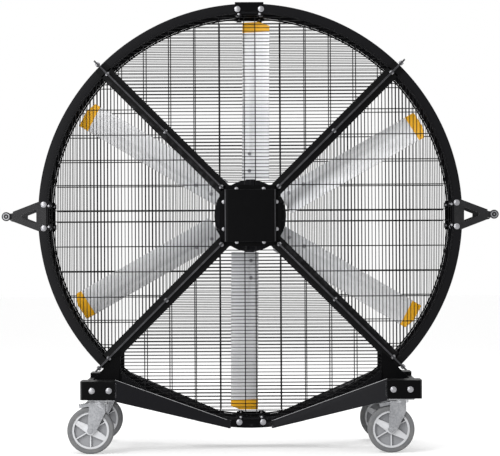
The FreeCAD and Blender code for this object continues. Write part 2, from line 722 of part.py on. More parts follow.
def blade():
    """A hollow blade with a slot for the spar, two cells and seats for the bolts."""
    half_width = SPAR_WIDTH / 2 + SPAR_GAP
    half_sheet = SPAR_SHEET / 2 + SPAR_GAP
    slot = (BLADE_ROOT - OVERRUN, SPAR_END + SPAR_GAP)
    tools = [blade_block((-half_width, half_width), (-half_sheet, half_sheet), slot)]
    for chords, thicks in blade_cells():
        tools.append(blade_block(chords, thicks, (BLADE_ROOT - OVERRUN, BLADE_END + OVERRUN)))
    for seat, axis, grip in blade_bolt_seats():
        tools.append(hole(seat, axis, grip, BLADE_BOLT_RADIUS))
        spot = BLADE_BOLT_HEAD + HOLE_CLEARANCE
        tools.append(rod(spot, seat, seat - axis * BLADE_THICKNESS))
        tools.append(rod(spot, seat + axis * grip, seat + axis * (grip + BLADE_THICKNESS)))
    return blade_section(BLADE_ROOT, BLADE_END).cut(tools)


def blade_tip():
    """A cap with two plugs in the blade's cells and a sloped corner at its trailing side."""
    tail = -BLADE_CHORD / 2 - BLADE_AXIS_OFFSET
    run, drop = CAP_SLOPE_SHARES
    low = TIP_RADIUS - CAP_LENGTH * drop
    high = TIP_RADIUS + OVERRUN
    start = tail + BLADE_CHORD * run
    outline = [(tail - OVERRUN, high), (start, high), (start, TIP_RADIUS), (tail, low), (tail - OVERRUN, low)]
    corner = [blade_point(chord, -BLADE_THICKNESS, radius) for chord, radius in outline]
    slope = prism(corner, THICK_AXIS * (2 * BLADE_THICKNESS))
    cap = blade_section(BLADE_END, TIP_RADIUS).cut(slope)
    plugs = []
    for chords, thicks in blade_cells():
        snug_chords = (chords[0] + SPAR_GAP, chords[1] - SPAR_GAP)
        snug_thicks = (thicks[0] + SPAR_GAP, thicks[1] - SPAR_GAP)
        plugs.append(blade_block(snug_chords, snug_thicks, (BLADE_END - CAP_PLUG, BLADE_END + CAP_PLUG / 2)))
    return fused([cap] + plugs)


def blade_bolts():
    return [bolt(seat, axis, grip, BLADE_BOLT_RADIUS, BLADE_BOLT_HEAD, BLADE_BOLT_HEAD_HEIGHT,
                 BLADE_BOLT_HEAD, BLADE_BOLT_HEAD_HEIGHT) for seat, axis, grip in blade_bolt_seats()]


def around_rotor(shape, number):
    """The shape carried round the hub axis to one blade's place."""
    copy = shape.copy()
    copy.rotate(HUB, ALONG_Y, number * 360 / BLADE_COUNT + BLADE_TURN)
    return copy


def rotor_hub():
    """A disc with a boss on the shaft and six pitched spars that carry the blades."""
    bore = SHAFT_RADIUS + FIT
    near = -ROTOR_OFFSET - BOSS_LENGTH / 2
    face = -ROTOR_OFFSET - DISC_SHEET / 2
    profile = [(bore, near), (BOSS_RADIUS, near), (BOSS_RADIUS, face), (DISC_RADIUS, face),
               (DISC_RADIUS, face + DISC_SHEET), (BOSS_RADIUS, face + DISC_SHEET),
               (BOSS_RADIUS, near + BOSS_LENGTH), (bore, near + BOSS_LENGTH)]
    spar = blade_block((-SPAR_WIDTH / 2, SPAR_WIDTH / 2), (-SPAR_SHEET / 2, SPAR_SHEET / 2),
                       (DISC_RADIUS * SPAR_ROOT_SHARE, SPAR_END))
    spar = spar.cut([hole(seat, axis, grip, BLADE_BOLT_RADIUS) for seat, axis, grip in blade_bolt_seats()])
    spars = [around_rotor(spar, number) for number in range(BLADE_COUNT)]
    return fused([turned(profile, HUB, ALONG_Y, ALONG_X)] + spars)


# Control box

BOX_BACK = PLATE_FACE
BOX_FACE = PLATE_FACE + BOX_DEPTH
KNOB_CENTRE = HUB + Vector(0, BOX_FACE + BOX_WALL, KNOB_HEIGHT)
GLAND_CENTRE = HUB + Vector(0, BOX_BACK + BOX_DEPTH / 2, -BOX_BOTTOM)


def board_outline(inset):
    """The half width and the two heights of a rectangle inside the box."""
    return BOX_WIDTH / 2 - inset, BOX_TOP - inset, -BOX_BOTTOM + inset


def control_box():
    """A tray on the rear plate with four posts for the board and a hole for the gland."""
    half = BOX_WIDTH / 2
    tray = box(-half, half, BOX_BACK, BOX_FACE, HUB_HEIGHT - BOX_BOTTOM, HUB_HEIGHT + BOX_TOP)
    inner = half - BOX_WALL
    tray = tray.cut(box(-inner, inner, BOX_BACK + BOX_WALL, BOX_FACE + OVERRUN,
                        HUB_HEIGHT - BOX_BOTTOM + BOX_WALL, HUB_HEIGHT + BOX_TOP - BOX_WALL))
    x, high, low = board_outline(BOARD_MARGIN + BOARD_POST_RADIUS)
    post = ALONG_Y * (BOX_WALL + BOARD_POST)
    feet = [HUB + Vector(side * x, BOX_BACK, z) for side in (-1, 1) for z in (low, high)]
    posts = [rod(BOARD_POST_RADIUS, foot, foot + post) for foot in feet]
    neck = rod(GLAND_NECK, GLAND_CENTRE - ALONG_Z * OVERRUN, GLAND_CENTRE + ALONG_Z * (BOX_WALL + OVERRUN))
    return fused([tray] + posts).cut(neck)


def control_cover():
    half = BOX_WIDTH / 2
    lid = box(-half, half, BOX_FACE, BOX_FACE + BOX_WALL, HUB_HEIGHT - BOX_BOTTOM, HUB_HEIGHT + BOX_TOP)
    inside = KNOB_CENTRE - ALONG_Y * (BOX_WALL + OVERRUN)
    return lid.cut(rod(KNOB_STEM + FIT, inside, KNOB_CENTRE + ALONG_Y * OVERRUN))


def drive_board():
    x, high, low = board_outline(BOARD_MARGIN)
    front = BOX_BACK + BOX_WALL + BOARD_POST
    return box(-x, x, front, front + BOARD_SHEET, HUB_HEIGHT + low, HUB_HEIGHT + high)


def power_gland():
    """A bored gland under the box, with its neck through the box's floor."""
    neck = GLAND_NECK - FIT
    profile = [(GLAND_BORE, -GLAND_DROP), (GLAND_RADIUS - GLAND_CHAMFER, -GLAND_DROP),
               (GLAND_RADIUS, GLAND_CHAMFER - GLAND_DROP), (GLAND_RADIUS, 0), (neck, 0),
               (neck, GLAND_NECK_LENGTH), (GLAND_BORE, GLAND_NECK_LENGTH)]
    return turned(profile, GLAND_CENTRE, ALONG_Z, ALONG_X)


def speed_knob():
    """A knob with a pointer ridge, on a stem through the cover."""
    profile = [(0, -KNOB_STEM_LENGTH), (KNOB_STEM, -KNOB_STEM_LENGTH), (KNOB_STEM, RUNNING_GAP),
               (KNOB_RADIUS, RUNNING_GAP), (KNOB_RADIUS, KNOB_DEPTH), (0, KNOB_DEPTH)]
    base = KNOB_CENTRE + ALONG_Y * KNOB_DEPTH
    ridge = box(-KNOB_POINTER / 2, KNOB_POINTER / 2, base.y - KNOB_POINTER / 2, base.y + KNOB_POINTER,
                base.z, base.z + KNOB_RADIUS - KNOB_POINTER)
    return fused([turned(profile, KNOB_CENTRE, ALONG_Y, ALONG_X), ridge])


# Ties and handles

def ring_tie():
    """A strap over the top of the ring with a leg down each face."""
    half = TOP_TIE_WIDTH / 2
    low = HUB_HEIGHT + RING_RADIUS + RUNNING_GAP
    face = HALF + TIE_LEG_SHEET
    pieces = [box(-half, half, -face, face, low, low + TIE_SHEET)]
    for side in (-1, 1):
        foot = HUB_HEIGHT + RING_RADIUS - TIE_LEG
        pieces.append(box(-half, half, side * HALF, side * face, foot, low + TIE_SHEET))
    holes = [hole(seat, axis, grip, RING_BOLT_SHANK) for seat, axis, grip in ring_bolt_places()]
    return fused(pieces).cut(holes + [mirrored_y(one) for one in holes])


def bottom_plate():
    """The plate that the front rails end on, made at the top of the ring and cut to its curve."""
    half = BOTTOM_TIE_WIDTH / 2
    top = HUB_HEIGHT + RING_RADIUS
    sheet = box(-half, half, -HALF - TIE_LEG_SHEET, -HALF, top - TIE_LEG, top)
    curve = rod(RING_RADIUS, HUB - ALONG_Y * RING_DEPTH, HUB)
    return sheet.common(curve).cut([hole(*place, RING_BOLT_SHANK) for place in ring_bolt_places()])


def backing_plate():
    """The plate inside the flange at the ring's top, under the nuts of the ring bolts and the rim screws."""
    half = BACKING_WIDTH / 2
    front = RING_SHEET - HALF
    low = HUB_HEIGHT + RIM_RADIUS - RIM_TAB + BACKING_STEP
    high = HUB_HEIGHT + RING_BOLT_RADIUS + RING_BOLT_NUT + BACKING_MARGIN
    holes = [hole(*place, RING_BOLT_SHANK) for place in ring_bolt_places()]
    holes += [hole(*place, RIM_SCREW_SHANK) for place in rim_screw_places()]
    return box(-half, half, front, front + BACKING_SHEET, low, high).cut(holes)


def handle_bracket():
    """The front right bracket: an A-shaped plate on the ring's flange with an eye for the bar."""
    foot = RING_RADIUS - BRACKET_INSET
    reach = HANDLE_X - foot
    shoulder = foot + reach * BRACKET_SHOULDER_SHARE
    neck = foot + reach * BRACKET_NECK_SHARE
    front = -HALF - TIE_LEG_SHEET
    upper = [(foot, BRACKET_FOOT), (shoulder, BRACKET_FOOT), (neck, BRACKET_NECK), (neck, BRACKET_STEM),
             (HANDLE_X, BRACKET_STEM)]
    lower = [(x, -z) for x, z in reversed(upper)]
    body = plate(upper + lower, front, -HALF)
    eye = rod(HANDLE_EYE, HUB + Vector(HANDLE_X, front, 0), HUB + Vector(HANDLE_X, -HALF, 0))
    near, far = [foot + reach * share for share in BRACKET_HOLE_SHARES]
    window = [(near, -BRACKET_HOLE_FOOT), (far, -BRACKET_HOLE_TOP), (far, BRACKET_HOLE_TOP),
              (near, BRACKET_HOLE_FOOT)]
    tools = [plate(window, front - OVERRUN, OVERRUN - HALF)]
    tools.append(rod(HANDLE_RADIUS + FIT, HUB + Vector(HANDLE_X, front - OVERRUN, 0),
                     HUB + Vector(HANDLE_X, OVERRUN - HALF, 0)))
    tools += [quarter_turned(hole(*place, RING_BOLT_SHANK), 1) for place in ring_bolt_places()]
    return fused([body, eye]).cut(tools)


def handle_bar():
    """The right bar, with a cap outside each bracket."""
    inside = HALF + TIE_LEG_SHEET + RUNNING_GAP
    end = inside + HANDLE_CAP_LENGTH
    profile = [(0, -end), (HANDLE_CAP_RADIUS, -end), (HANDLE_CAP_RADIUS, -inside), (HANDLE_RADIUS, -inside),
               (HANDLE_RADIUS, inside), (HANDLE_CAP_RADIUS, inside), (HANDLE_CAP_RADIUS, end), (0, end)]
    return turned(profile, HUB + ALONG_X * HANDLE_X, ALONG_Y, ALONG_X)


# Base

def beam_bolt_places():
    """The two bolts in the right beam's front face."""
    height = (BEAM_BOTTOM + BLOCK_TOP) / 2
    return [(Vector(CASTER_X + side * BEAM_BOLT_SPREAD / 2, -BEAM_END, height), ALONG_Y, BEAM_WALL)
            for side in (-1, 1)]


def gusset_bolt_places():
    """The two bolts through the front right gusset's foot and the beam's top."""
    x = (BEAM_INNER + SOLE_OUTER) / 2
    y = -ARM_FACE - GUSSET_SHEET
    seat = BEAM_TOP + GUSSET_SHEET
    return [(Vector(x, y - GUSSET_FOOT * share, seat), ALONG_Z * -1, GUSSET_SHEET + BEAM_WALL)
            for share in GUSSET_BOLT_SHARES]


def base_beam():
    """The right beam: a folded trough, open below, with a raised closed block at each end."""
    step = BEAM_END - BEAM_BLOCK_LENGTH
    floor = BEAM_BOTTOM + BEAM_WALL
    far = BEAM_END - BEAM_WALL
    near = step + BEAM_WALL
    outside = [(BEAM_END, BEAM_BOTTOM), (BEAM_END, BLOCK_TOP), (step, BLOCK_TOP), (step, BEAM_TOP)]
    hollow = [(step, BEAM_BOTTOM - OVERRUN), (step, floor), (far, floor), (far, BLOCK_TOP - BEAM_WALL),
              (near, BLOCK_TOP - BEAM_WALL), (near, BEAM_TOP - BEAM_WALL)]
    blocks = []
    for half, inset in ((outside, 0), (hollow, BEAM_WALL)):
        outline = half + [(-y, z) for y, z in reversed(half)]
        points = [Vector(BEAM_INNER + inset, y, z) for y, z in outline]
        blocks.append(prism(points, ALONG_X * (BEAM_WIDTH - 2 * inset)))
    holes = [hole(*place, RING_BOLT_SHANK) for place in beam_bolt_places()]
    holes += [hole(*place, ARM_BOLT_SHANK) for place in gusset_bolt_places()]
    kingpin = Vector(CASTER_X, -CASTER_Y, BEAM_BOTTOM)
    holes.append(hole(kingpin, ALONG_Z, BEAM_WALL, KINGPIN_RADIUS))
    return blocks[0].cut([blocks[1]] + holes + [mirrored_y(one) for one in holes])


def base_gusset():
    """The front right gusset: a triangle against the lower arm with a foot on the beam."""
    inner = GUSSET_OUTER - GUSSET_WIDTH
    foot = BEAM_TOP - HUB_HEIGHT
    triangle = [(inner, foot + GUSSET_WIDTH), (inner, foot), (GUSSET_OUTER, foot)]
    sheet = plate(triangle, -ARM_FACE - GUSSET_SHEET, -ARM_FACE)
    sole = box(BEAM_INNER, SOLE_OUTER, -ARM_FACE - GUSSET_SHEET - GUSSET_FOOT, -ARM_FACE,
               BEAM_TOP, BEAM_TOP + GUSSET_SHEET)
    return fused([sheet, sole]).cut([hole(*place, ARM_BOLT_SHANK) for place in gusset_bolt_places()])


def base_rail():
    """The front right rail: a tapered plate from the beam to the bottom tie, with a lip and two tabs."""
    tie_face = -HALF - TIE_LEG_SHEET
    start = Vector(BEAM_INNER, -BEAM_END, 0)
    end = Vector(BOTTOM_TIE_WIDTH / 2, tie_face - RAIL_SHEET, 0)
    along = (end - start).normalize()
    back = Vector(-along.y, along.x, 0) * -1
    low_end = GROUND_CLEARANCE - RAIL_END_DROP
    high_end = low_end + RAIL_END_HEIGHT
    outline = [start + ALONG_Z * (BEAM_BOTTOM - RAIL_DROP), start + ALONG_Z * (BLOCK_TOP + RAIL_RISE),
               end + along * RAIL_SHEET + ALONG_Z * high_end, end + along * RAIL_SHEET + ALONG_Z * low_end]
    sheet = prism(outline, back * RAIL_SHEET)
    lip = prism([outline[1], outline[2], outline[1] + back * RAIL_LIP], ALONG_Z * -RAIL_SHEET)
    outer_tab = box(BEAM_INNER - RAIL_SHEET, BEAM_INNER, -BEAM_END, RAIL_TAB - BEAM_END,
                    BEAM_BOTTOM + RAIL_TAB_MARGIN, BLOCK_TOP - RAIL_TAB_MARGIN)
    inner_tab = box(end.x - RAIL_END_TAB, end.x, tie_face - RAIL_SHEET, tie_face, low_end, high_end)
    behind_beam = box(BEAM_INNER, BEAM_OUTER, -BEAM_LENGTH, 0, 0, HUB_HEIGHT)
    behind_tie = box(0, BEAM_INNER, tie_face, 0, 0, HUB_HEIGHT)
    return fused([sheet, lip, outer_tab, inner_tab]).cut([behind_beam, behind_tie])


# Casters: each fork, wheel and pedal is made about its swivel axis and then carried to its corner

def caster_plate():
    """The front right plate under the beam, with a boss and the kingpin's hole."""
    place = Vector(CASTER_X, -CASTER_Y, 0)
    half_width = CASTER_PLATE_WIDTH / 2
    half_length = CASTER_PLATE_LENGTH / 2
    sheet = box(CASTER_X - half_width, CASTER_X + half_width, -CASTER_Y - half_length, half_length - CASTER_Y,
                PLATE_BOTTOM, BEAM_BOTTOM)
    boss = rod(CASTER_BOSS_RADIUS, place + ALONG_Z * BOSS_BOTTOM, place + ALONG_Z * BEAM_BOTTOM)
    bore = rod(KINGPIN_RADIUS + FIT, place, place + ALONG_Z * BLOCK_TOP)
    return fused([sheet, boss]).cut(bore)


def cross_rod(radius, x, z, reach):
    """A round bar across the caster."""
    return rod(radius, Vector(x, -reach, z), Vector(x, reach, z))


def caster_fork():
    """A crown with a kingpin and two legs that trail to the axle, with ears for the pedal's pin."""
    back = PIVOT_X - PEDAL_EYE - FORK_SHEET / 2
    crown_back = PIVOT_X + PEDAL_EYE + FORK_LEG_GAP
    heel = -FORK_HEEL - CASTER_TRAIL
    pieces = [box(crown_back, FORK_NOSE, -LEG_OUTER, LEG_OUTER, CROWN_BOTTOM, CROWN_TOP)]
    pieces.append(rod(CASTER_BOSS_RADIUS, ALONG_Z * CROWN_BOTTOM, ALONG_Z * CROWN_TOP))
    pieces.append(rod(KINGPIN_RADIUS, ALONG_Z * CROWN_BOTTOM, ALONG_Z * (BEAM_BOTTOM + KINGPIN_PROUD)))
    outline = [(FORK_NOSE, CROWN_TOP), (FORK_NOSE, CROWN_BOTTOM - FORK_CHEEK),
               (FORK_TOE - CASTER_TRAIL, WHEEL_RADIUS), (-CASTER_TRAIL, WHEEL_RADIUS - FORK_EYE),
               (heel, WHEEL_RADIUS), (heel, WHEEL_RADIUS + FORK_STEP),
               (back, PIVOT_Z - PEDAL_EYE), (back, PIVOT_Z + PEDAL_EYE), (crown_back, PIVOT_Z + PEDAL_EYE),
               (crown_back, CROWN_TOP)]
    bores = [cross_rod(AXLE_RADIUS + FIT, -CASTER_TRAIL, WHEEL_RADIUS, LEG_OUTER + OVERRUN),
             cross_rod(PEDAL_PIN + FIT, PIVOT_X, PIVOT_Z, LEG_OUTER + OVERRUN)]
    for side in (-1, 1):
        near = min(side * LEG_INNER, side * LEG_OUTER)
        pieces.append(prism([Vector(x, near, z) for x, z in outline], ALONG_Y * FORK_SHEET))
        pieces.append(rod(FORK_EYE, Vector(-CASTER_TRAIL, near, WHEEL_RADIUS),
                          Vector(-CASTER_TRAIL, near + FORK_SHEET, WHEEL_RADIUS)))
    return fused(pieces).cut(bores)


def caster_axle():
    end = LEG_OUTER + AXLE_HEAD_LENGTH
    profile = [(0, -end), (AXLE_HEAD, -end), (AXLE_HEAD, -LEG_OUTER), (AXLE_RADIUS, -LEG_OUTER),
               (AXLE_RADIUS, LEG_OUTER), (AXLE_HEAD, LEG_OUTER), (AXLE_HEAD, end), (0, end)]
    return turned(profile, wheel_centre(), ALONG_Y, ALONG_X)


def wheel_centre():
    return Vector(-CASTER_TRAIL, 0, WHEEL_RADIUS)


def caster_wheel():
    """A bored hub, a rim and a web between them, with thin ribs and two wide spokes in line."""
    hub_half = LEG_INNER - CORE_HUB_GAP
    rim_half = CORE_RIM_WIDTH / 2
    rim_inner = CORE_RADIUS - CORE_RIM
    hub = [(0, -hub_half), (CORE_HUB_RADIUS, -hub_half), (CORE_HUB_RADIUS, hub_half), (0, hub_half)]
    rim = [(rim_inner, -rim_half), (CORE_RADIUS, -rim_half), (CORE_RADIUS, rim_half), (rim_inner, rim_half)]
    pieces = [turned(hub, wheel_centre(), ALONG_Y, ALONG_X), turned(rim, wheel_centre(), ALONG_Y, ALONG_X)]
    reach = rim_inner + CORE_RIM / 2
    pieces.append(cross_rod(reach, -CASTER_TRAIL, WHEEL_RADIUS, CORE_WEB / 2))
    for number in range(SPOKE_COUNT):
        if number % WIDE_SPOKE_STEP == WIDE_SPOKE_FIRST:
            root, end, depth = WIDE_SPOKE_ROOT / 2, WIDE_SPOKE_END / 2, WIDE_SPOKE_DEPTH
        else:
            root, end, depth = RIB_WIDTH / 2, RIB_WIDTH / 2, RIB_DEPTH
        corners = [(-root, 0), (root, 0), (end, reach), (-end, reach)]
        spoke = prism([Vector(x, -depth / 2, z) for x, z in corners], ALONG_Y * depth)
        spoke.translate(wheel_centre())
        spoke.rotate(wheel_centre(), ALONG_Y, number * 360 / SPOKE_COUNT)
        pieces.append(spoke)
    return fused(pieces).cut(cross_rod(AXLE_RADIUS + FIT, -CASTER_TRAIL, WHEEL_RADIUS, LEG_OUTER))


def caster_tyre():
    half = TYRE_WIDTH / 2
    seat = CORE_RADIUS + TYRE_SEAT_GAP
    shoulder = WHEEL_RADIUS - TYRE_SHOULDER
    profile = [(seat, -half), (shoulder, -half), (WHEEL_RADIUS, TYRE_SHOULDER - half),
               (WHEEL_RADIUS, half - TYRE_SHOULDER), (shoulder, half), (seat, half)]
    return turned(profile, wheel_centre(), ALONG_Y, ALONG_X)


def brake_pedal():
    """A ribbed tread on a pin between the fork's legs, with two side flanges and the brake shoe below."""
    eye_half = LEG_INNER - PEDAL_EYE_GAP
    half = PEDAL_WIDTH / 2
    thick = PEDAL_SHEET / 2
    pieces = [cross_rod(PEDAL_EYE, PIVOT_X, PIVOT_Z, eye_half)]
    pieces.append(cross_rod(PEDAL_PIN, PIVOT_X, PIVOT_Z, LEG_OUTER))
    flat = [box(PIVOT_X - PEDAL_LENGTH, PIVOT_X, -half, half, PIVOT_Z - thick, PIVOT_Z + thick)]
    for share in PEDAL_RIB_SHARES:
        x = PIVOT_X - PEDAL_LENGTH * share
        flat.append(box(x, x + PEDAL_RIB, -half, half, PIVOT_Z, PIVOT_Z + thick + PEDAL_RIB))
    end = PIVOT_X - PEDAL_LENGTH
    for side in (-1, 1):
        flat.append(box(end, PIVOT_X, side * half, side * (half - PEDAL_FLANGE_SHEET),
                        PIVOT_Z - thick - PEDAL_FLANGE, PIVOT_Z))
    far, near = [PIVOT_X - PEDAL_LENGTH * share for share in PEDAL_SHOE_SHARES]
    flat.append(box(far, near, -PEDAL_SHOE_WIDTH / 2, PEDAL_SHOE_WIDTH / 2,
                    PIVOT_Z - thick - PEDAL_SHOE, PIVOT_Z))
    for piece in flat:
        piece.rotate(Vector(PIVOT_X, 0, PIVOT_Z), ALONG_Y, -PEDAL_SLOPE)
    return fused(pieces + flat)


# Fasteners of the standing frame

def frame_bolts():
    solids = []
    for turns in range(len(QUARTERS)):
        for place in ring_bolt_places():
            solids.append(quarter_turned(ring_bolt(*place), turns))
        for place in rim_screw_places():
            solids.append(quarter_turned(rim_screw(*place), turns))
        for place in hub_bolt_places() + arm_bolt_places(45):
            solids.append(quarter_turned(arm_bolt(*place), turns))
    solids += [faced_back(solid) for solid in solids]
    ears = [arm_bolt(*place) for place in ear_bolt_places(45)]
    solids += [quarter_turned(solid, turns) for turns in range(len(QUARTERS)) for solid in ears]
    base = [ring_bolt(*place) for place in beam_bolt_places()]
    base += [arm_bolt(*place) for place in gusset_bolt_places()]
    return solids + motor_screws() + on_four_corners(base)


def on_four_corners(solids):
    """The front right solids, and their mirror images at the other three corners."""
    right = solids + [mirrored_y(solid) for solid in solids]
    return right + [mirrored_x(solid) for solid in right]


# Sub-parts

quarter = shroud_quarter()
panel = [guard_frame(), guard_wires()]
for turns, name in enumerate(QUARTERS):
    save("shroud_" + name, [quarter_turned(quarter, turns)])
    front_panel = [quarter_turned(piece, turns) for piece in panel]
    rear_panel = [quarter_turned(faced_back(piece), turns) for piece in panel]
    save("front_guard_" + name, front_panel)
    save("rear_guard_" + name, rear_panel)

save("hub_front_plate", [hub_plate(False)])
save("hub_rear_plate", [hub_plate(True)])
save("hub_cover", [hub_cover()])
save("motor_housing", motor_housing())
for name, solids in motor_inside().items():
    save(name, solids)
save("motor_shaft", [motor_shaft()])

save("rotor_hub", [rotor_hub()])
one_blade = blade()
for number in range(BLADE_COUNT):
    save("blade_" + str(number + 1), [around_rotor(one_blade, number)])
tip = blade_tip()
save("blade_tips", [around_rotor(tip, number) for number in range(BLADE_COUNT)])
save("blade_bolts", [around_rotor(solid, number) for number in range(BLADE_COUNT) for solid in blade_bolts()])

save("control_box", [control_box()])
save("control_cover", [control_cover()])
save("drive_board", [drive_board()])
save("power_gland", [power_gland()])
save("speed_knob", [speed_knob()])

ties = [quarter_turned(bottom_plate(), 2)]
ties += [quarter_turned(backing_plate(), turns) for turns in range(len(QUARTERS))]
save("ring_ties", [ring_tie()] + ties + [faced_back(piece) for piece in ties])
save("handle_brackets", on_four_corners([handle_bracket()]))
save("handle_bars", [handle_bar(), mirrored_x(handle_bar())])
save("frame_bolts", frame_bolts())

beam = base_beam()
save("base_beam_right", [beam])
save("base_beam_left", [mirrored_x(beam)])
rail = base_rail()
save("base_rails_front", [rail, mirrored_x(rail)])
save("base_rails_rear", [mirrored_y(rail), mirrored_x(mirrored_y(rail))])
save("base_gussets", on_four_corners([base_gusset()]))
save("caster_plates", on_four_corners([caster_plate()]))

caster = {"caster_fork": [caster_fork(), caster_axle()], "caster_wheel": [caster_wheel()],
          "caster_tyre": [caster_tyre()], "brake_pedal": [brake_pedal()]}
for corner, side, end in CORNERS:
    for name, solids in caster.items():
        moved = [solid.translated(Vector(side * CASTER_X, end * CASTER_Y, 0)) for solid in solids]
        save(name + "_" + corner, moved)
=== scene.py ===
# %% [markdown]
# # A portable drum fan
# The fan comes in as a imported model: every part at its real size, in metres, with its joints. This
# lesson dresses it: round wires, rolled edges, six-sided bolts, and a finish for each surface.

# %% Load the frame
import json
import math

import bmesh
import bpy
import numpy as np
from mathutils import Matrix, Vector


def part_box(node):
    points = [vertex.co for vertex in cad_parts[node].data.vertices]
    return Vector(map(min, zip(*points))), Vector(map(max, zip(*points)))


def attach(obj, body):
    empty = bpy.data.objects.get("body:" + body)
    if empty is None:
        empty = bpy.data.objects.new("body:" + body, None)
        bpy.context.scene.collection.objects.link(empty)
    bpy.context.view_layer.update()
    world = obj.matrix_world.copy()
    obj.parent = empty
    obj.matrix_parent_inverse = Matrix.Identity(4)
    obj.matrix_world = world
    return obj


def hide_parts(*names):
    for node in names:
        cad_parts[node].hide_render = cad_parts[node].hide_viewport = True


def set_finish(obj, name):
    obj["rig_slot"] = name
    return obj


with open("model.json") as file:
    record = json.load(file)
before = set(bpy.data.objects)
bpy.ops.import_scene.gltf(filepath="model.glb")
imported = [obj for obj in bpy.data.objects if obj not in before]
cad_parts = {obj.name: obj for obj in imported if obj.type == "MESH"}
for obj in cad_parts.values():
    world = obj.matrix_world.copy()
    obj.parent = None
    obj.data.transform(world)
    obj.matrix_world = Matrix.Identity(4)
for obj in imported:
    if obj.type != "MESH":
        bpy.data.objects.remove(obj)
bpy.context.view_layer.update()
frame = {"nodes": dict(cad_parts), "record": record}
NODES = frame["nodes"]
CORNERS = ["front_left", "front_right", "rear_left", "rear_right"]
BLADES = ["blade_%d" % number for number in range(1, 7)]

# %% [markdown]
# ## The view
# A long lens far away flattens the round shroud, as in a catalogue picture. The camera stands a
# little below the hub, tips up a hair and rolls a little. The background is white because the
# floor and the world are brighter on camera and mirror rays than on the rays that light the fan.

# %% Camera
CAMERA_PLACE = (-0.0017, -10.93, 1.046)
CAMERA_TILT = math.radians(0.38)
CAMERA_ROLL = math.radians(0.29)
LENS_MM = 153.2
SENSOR_MM = 36.0
FAR_CLIP = 100.0

camera_data = bpy.data.cameras.new("camera")
camera_data.lens = LENS_MM
camera_data.sensor_width = SENSOR_MM
camera_data.clip_end = FAR_CLIP
camera = bpy.data.objects.new("camera", camera_data)
camera.location = CAMERA_PLACE
camera.rotation_euler = (math.radians(90) + CAMERA_TILT, CAMERA_ROLL, 0.0)
bpy.context.collection.objects.link(camera)
bpy.context.scene.camera = camera
bpy.context.scene.view_settings.view_transform = "Standard"
print("camera at", CAMERA_PLACE)

# %% [markdown]
# ## Light
# Three big soft lamps: a key from the upper left, a low fill from the front left, and one behind
# that draws a thin bright line along the top edges. The world adds an even glow, a little less than
# white.

# %% Lamps and world
HUB = (0.0, 0.0, 1.181)
LAMP_SIZE = 3.0
LAMPS = {"key_lamp": ((-3.5, -5.0, 5.0), 260.0), "fill_lamp": ((-3.5, -6.0, 0.9), 150.0),
         "rim_lamp": ((0.5, 4.0, 5.5), 160.0)}
WORLD_LIGHT = 0.78
WHITE = (1.0, 1.0, 1.0, 1.0)


def soft_lamp(name, place, aim, size, power):
    """A square area lamp at a place, turned to face the aim point."""
    data = bpy.data.lights.new(name, "AREA")
    data.shape = "SQUARE"
    data.size = size
    data.energy = power
    lamp = bpy.data.objects.new(name, data)
    lamp.location = place
    way = np.array(aim) - np.array(place)
    flat = math.hypot(way[0], way[1])
    turn = math.atan2(way[1], way[0]) - math.radians(90)
    lamp.rotation_euler = (math.atan2(flat, -way[2]), 0.0, turn)
    bpy.context.collection.objects.link(lamp)


def seen_directly(nodes, links):
    """A value of 1 on camera, mirror and glass rays, and 0 on the rays that carry diffuse light."""
    path = nodes.new("ShaderNodeLightPath")
    first = nodes.new("ShaderNodeMath")
    first.operation = "MAXIMUM"
    links.new(path.outputs["Is Camera Ray"], first.inputs[0])
    links.new(path.outputs["Is Glossy Ray"], first.inputs[1])
    both = nodes.new("ShaderNodeMath")
    both.operation = "MAXIMUM"
    links.new(first.outputs[0], both.inputs[0])
    links.new(path.outputs["Is Transmission Ray"], both.inputs[1])
    return both.outputs[0]


for name, (place, power) in LAMPS.items():
    soft_lamp(name, place, HUB, LAMP_SIZE, power)
world = bpy.data.worlds.new("studio")
world.use_nodes = True
bpy.context.scene.world = world
world_nodes = world.node_tree.nodes
world_links = world.node_tree.links
backdrop = world_nodes["Background"]
strength = world_nodes.new("ShaderNodeMapRange")
strength.inputs["To Min"].default_value = WORLD_LIGHT
strength.inputs["To Max"].default_value = 1.0
world_links.new(seen_directly(world_nodes, world_links), strength.inputs["Value"])
backdrop.inputs["Color"].default_value = WHITE
world_links.new(strength.outputs["Result"], backdrop.inputs["Strength"])
print("lamps", len(LAMPS))

# %% Floor
FLOOR_HALF = 30.0
FLOOR_DROP = 0.001
FLOOR_COLOUR = (0.65, 0.65, 0.65, 1.0)
FLOOR_ROUGHNESS = 0.9
FLOOR_GLOW = 0.43

floor_mesh = bpy.data.meshes.new("floor")
floor_corners = np.array([(-1, -1), (1, -1), (1, 1), (-1, 1)], float) * FLOOR_HALF
floor_mesh.from_pydata([(x, y, -FLOOR_DROP) for x, y in floor_corners], [], [(0, 1, 2, 3)])
floor = bpy.data.objects.new("floor", floor_mesh)
bpy.context.collection.objects.link(floor)

paper = bpy.data.materials.new("white_paper")
paper.use_nodes = True
paper_nodes = paper.node_tree.nodes
paper_links = paper.node_tree.links
paper_shader = paper_nodes["Principled BSDF"]
paper_shader.inputs["Base Color"].default_value = FLOOR_COLOUR
paper_shader.inputs["Roughness"].default_value = FLOOR_ROUGHNESS
paper_shader.inputs["Emission Color"].default_value = WHITE
glow = paper_nodes.new("ShaderNodeMapRange")
glow.inputs["To Min"].default_value = 0.0
glow.inputs["To Max"].default_value = FLOOR_GLOW
paper_links.new(seen_directly(paper_nodes, paper_links), glow.inputs["Value"])
paper_links.new(glow.outputs["Result"], paper_shader.inputs["Emission Strength"])
floor_mesh.materials.append(paper)
print("stage ready")

